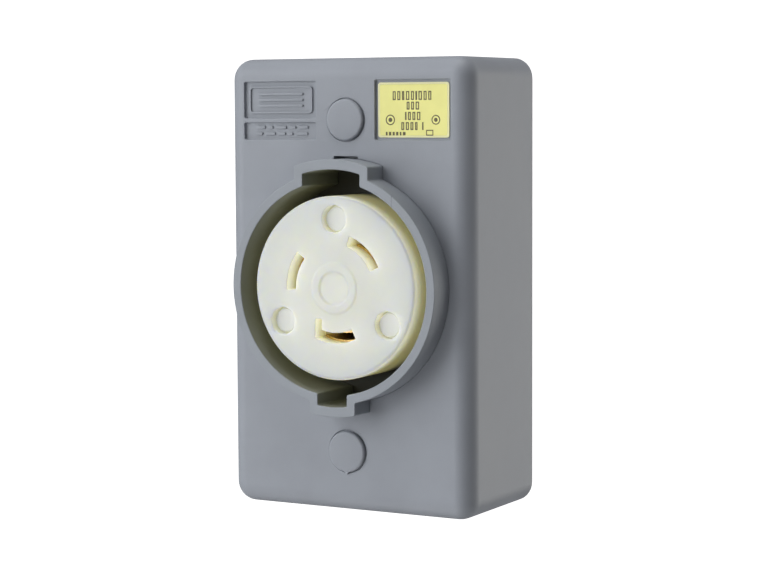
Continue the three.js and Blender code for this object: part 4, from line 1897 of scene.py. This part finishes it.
@dataclass
class Studio:
    """Floor, soft lights and the camera."""

    panels: tuple[Panel, ...] = (
        Panel("key_light", (-1.1, -1.3, 0.45), 1.7, 25.5, (0.965, 0.985, 1.0)),
        Panel("side_light", (1.1, 1.3, -0.1), 1.3, 13.2, (1.0, 0.99, 0.95)),
        Panel("top_light", (0.0, -0.2, 1.4), 0.8, 9.0),
        Panel("low_light", (-0.3, -0.7, -1.2), 1.0, 7.0),
    )
    floor_drop: float = 0.5
    ambient: float = 0.17
    lens: float = 102.19
    turn: float = 29.06
    tilt: float = 4.68
    roll: float = -0.28
    eye: tuple[float, float, float] = (0.2727, -0.5066, 0.0442)

    def make(self) -> None:
        """Sets up the whole stage."""
        bpy.context.scene.view_settings.view_transform = "Standard"
        self._floor()
        self._sky()
        for panel in self.panels:
            self._light(panel)
        self._camera()

    def _floor(self) -> None:
        """A wide pale floor that curves up behind the box, well clear of it, and lights nothing."""
        half, drop, reach, rise = 6.0, -self.floor_drop, 3.0, 6.0
        back = [(-half, 0.0)]
        turns = [math.pi / 2 * k / 12 for k in range(13)]
        back += [(reach + math.sin(t), 1.0 - math.cos(t)) for t in turns]
        back += [(reach + 1.0, rise)]
        spots = [(x, y, drop + z) for x in (-half, half) for y, z in back]
        count = len(back)
        faces = [(k, k + 1, count + k + 1, count + k) for k in range(count - 1)]
        mesh = bpy.data.meshes.new("floor")
        mesh.from_pydata(spots, [], faces)
        mesh.shade_smooth()
        floor = link("floor", mesh)
        graph = Graph("pale floor")
        graph.feed(base_color=(0.9, 0.9, 0.9, 1.0), roughness=0.8, emission_color=(1.0, 1.0, 1.0, 1.0))
        graph.feed(emission_strength=1.0)
        floor.data.materials.append(graph.material)
        floor.visible_diffuse = floor.visible_glossy = floor.visible_shadow = False

    def _sky(self) -> None:
        """Surroundings that are white behind the box and light it only dimly."""
        world = bpy.data.worlds.new("studio")
        world.use_nodes = True
        tree = world.node_tree
        ground = tree.nodes["Background"]
        ground.inputs["Color"].default_value = (1.0, 1.0, 1.0, 1.0)
        seen = tree.nodes.new("ShaderNodeLightPath")
        level = tree.nodes.new("ShaderNodeMapRange")
        level.inputs["To Min"].default_value = self.ambient
        tree.links.new(seen.outputs["Is Camera Ray"], level.inputs["Value"])
        tree.links.new(level.outputs["Result"], ground.inputs["Strength"])
        bpy.context.scene.world = world

    def _light(self, panel: Panel) -> None:
        """One square soft light facing the box.

        Args:
            panel: the light.
        """
        lamp = bpy.data.lights.new(panel.name, "AREA")
        lamp.size = panel.size
        lamp.energy = panel.power
        lamp.color = panel.tint
        made = bpy.data.objects.new(panel.name, lamp)
        bpy.context.scene.collection.objects.link(made)
        made.location = panel.place
        aim = Vector((0.0, -0.02, 0.0)) - Vector(panel.place)
        made.rotation_euler = aim.to_track_quat("-Z", "Y").to_euler()

    def _camera(self) -> None:
        """A long lens to the right of the box, a little above its middle."""
        turn, tilt, roll = (math.radians(angle) for angle in (self.turn, self.tilt, self.roll))
        ahead = Vector((-math.sin(turn) * math.cos(tilt), math.cos(turn) * math.cos(tilt), -math.sin(tilt)))
        right = Vector((math.cos(turn), math.sin(turn), 0.0))
        up = right.cross(ahead)
        level = math.cos(roll) * right + math.sin(roll) * up
        upright = -math.sin(roll) * right + math.cos(roll) * up
        pose = Matrix((level, upright, -ahead)).transposed().to_4x4()
        pose.translation = Vector(self.eye)
        data = bpy.data.cameras.new("camera")
        data.lens = self.lens
        data.sensor_width = 36.0
        data.clip_start = 0.01
        data.clip_end = 50.0
        camera = bpy.data.objects.new("camera", data)
        camera.matrix_world = pose
        bpy.context.scene.collection.objects.link(camera)
        bpy.context.scene.camera = camera


def main() -> None:
    """Builds every piece in order, then the stage, and logs how many pieces were made."""
    logging.basicConfig(level=logging.INFO, format="%(name)s: %(message)s")
    shop = Shop()
    Housing(shop).make()
    Collar(shop).make()
    ScrewCap(shop, "upper", 1).make()
    ScrewCap(shop, "lower", -1, nub=True).make()
    RatingLabel(shop).make()
    Base(shop).make()
    Drum(shop).make()
    for number, angle in enumerate(PLUG_ANGLES, 1):
        FacePlug(shop, number, angle).make()
    Rear(shop).make()
    Fasteners(shop).make()
    Studio().make()
    LOG.info("%d pieces made", shop.made)


if __name__ == "__main__":
    main()
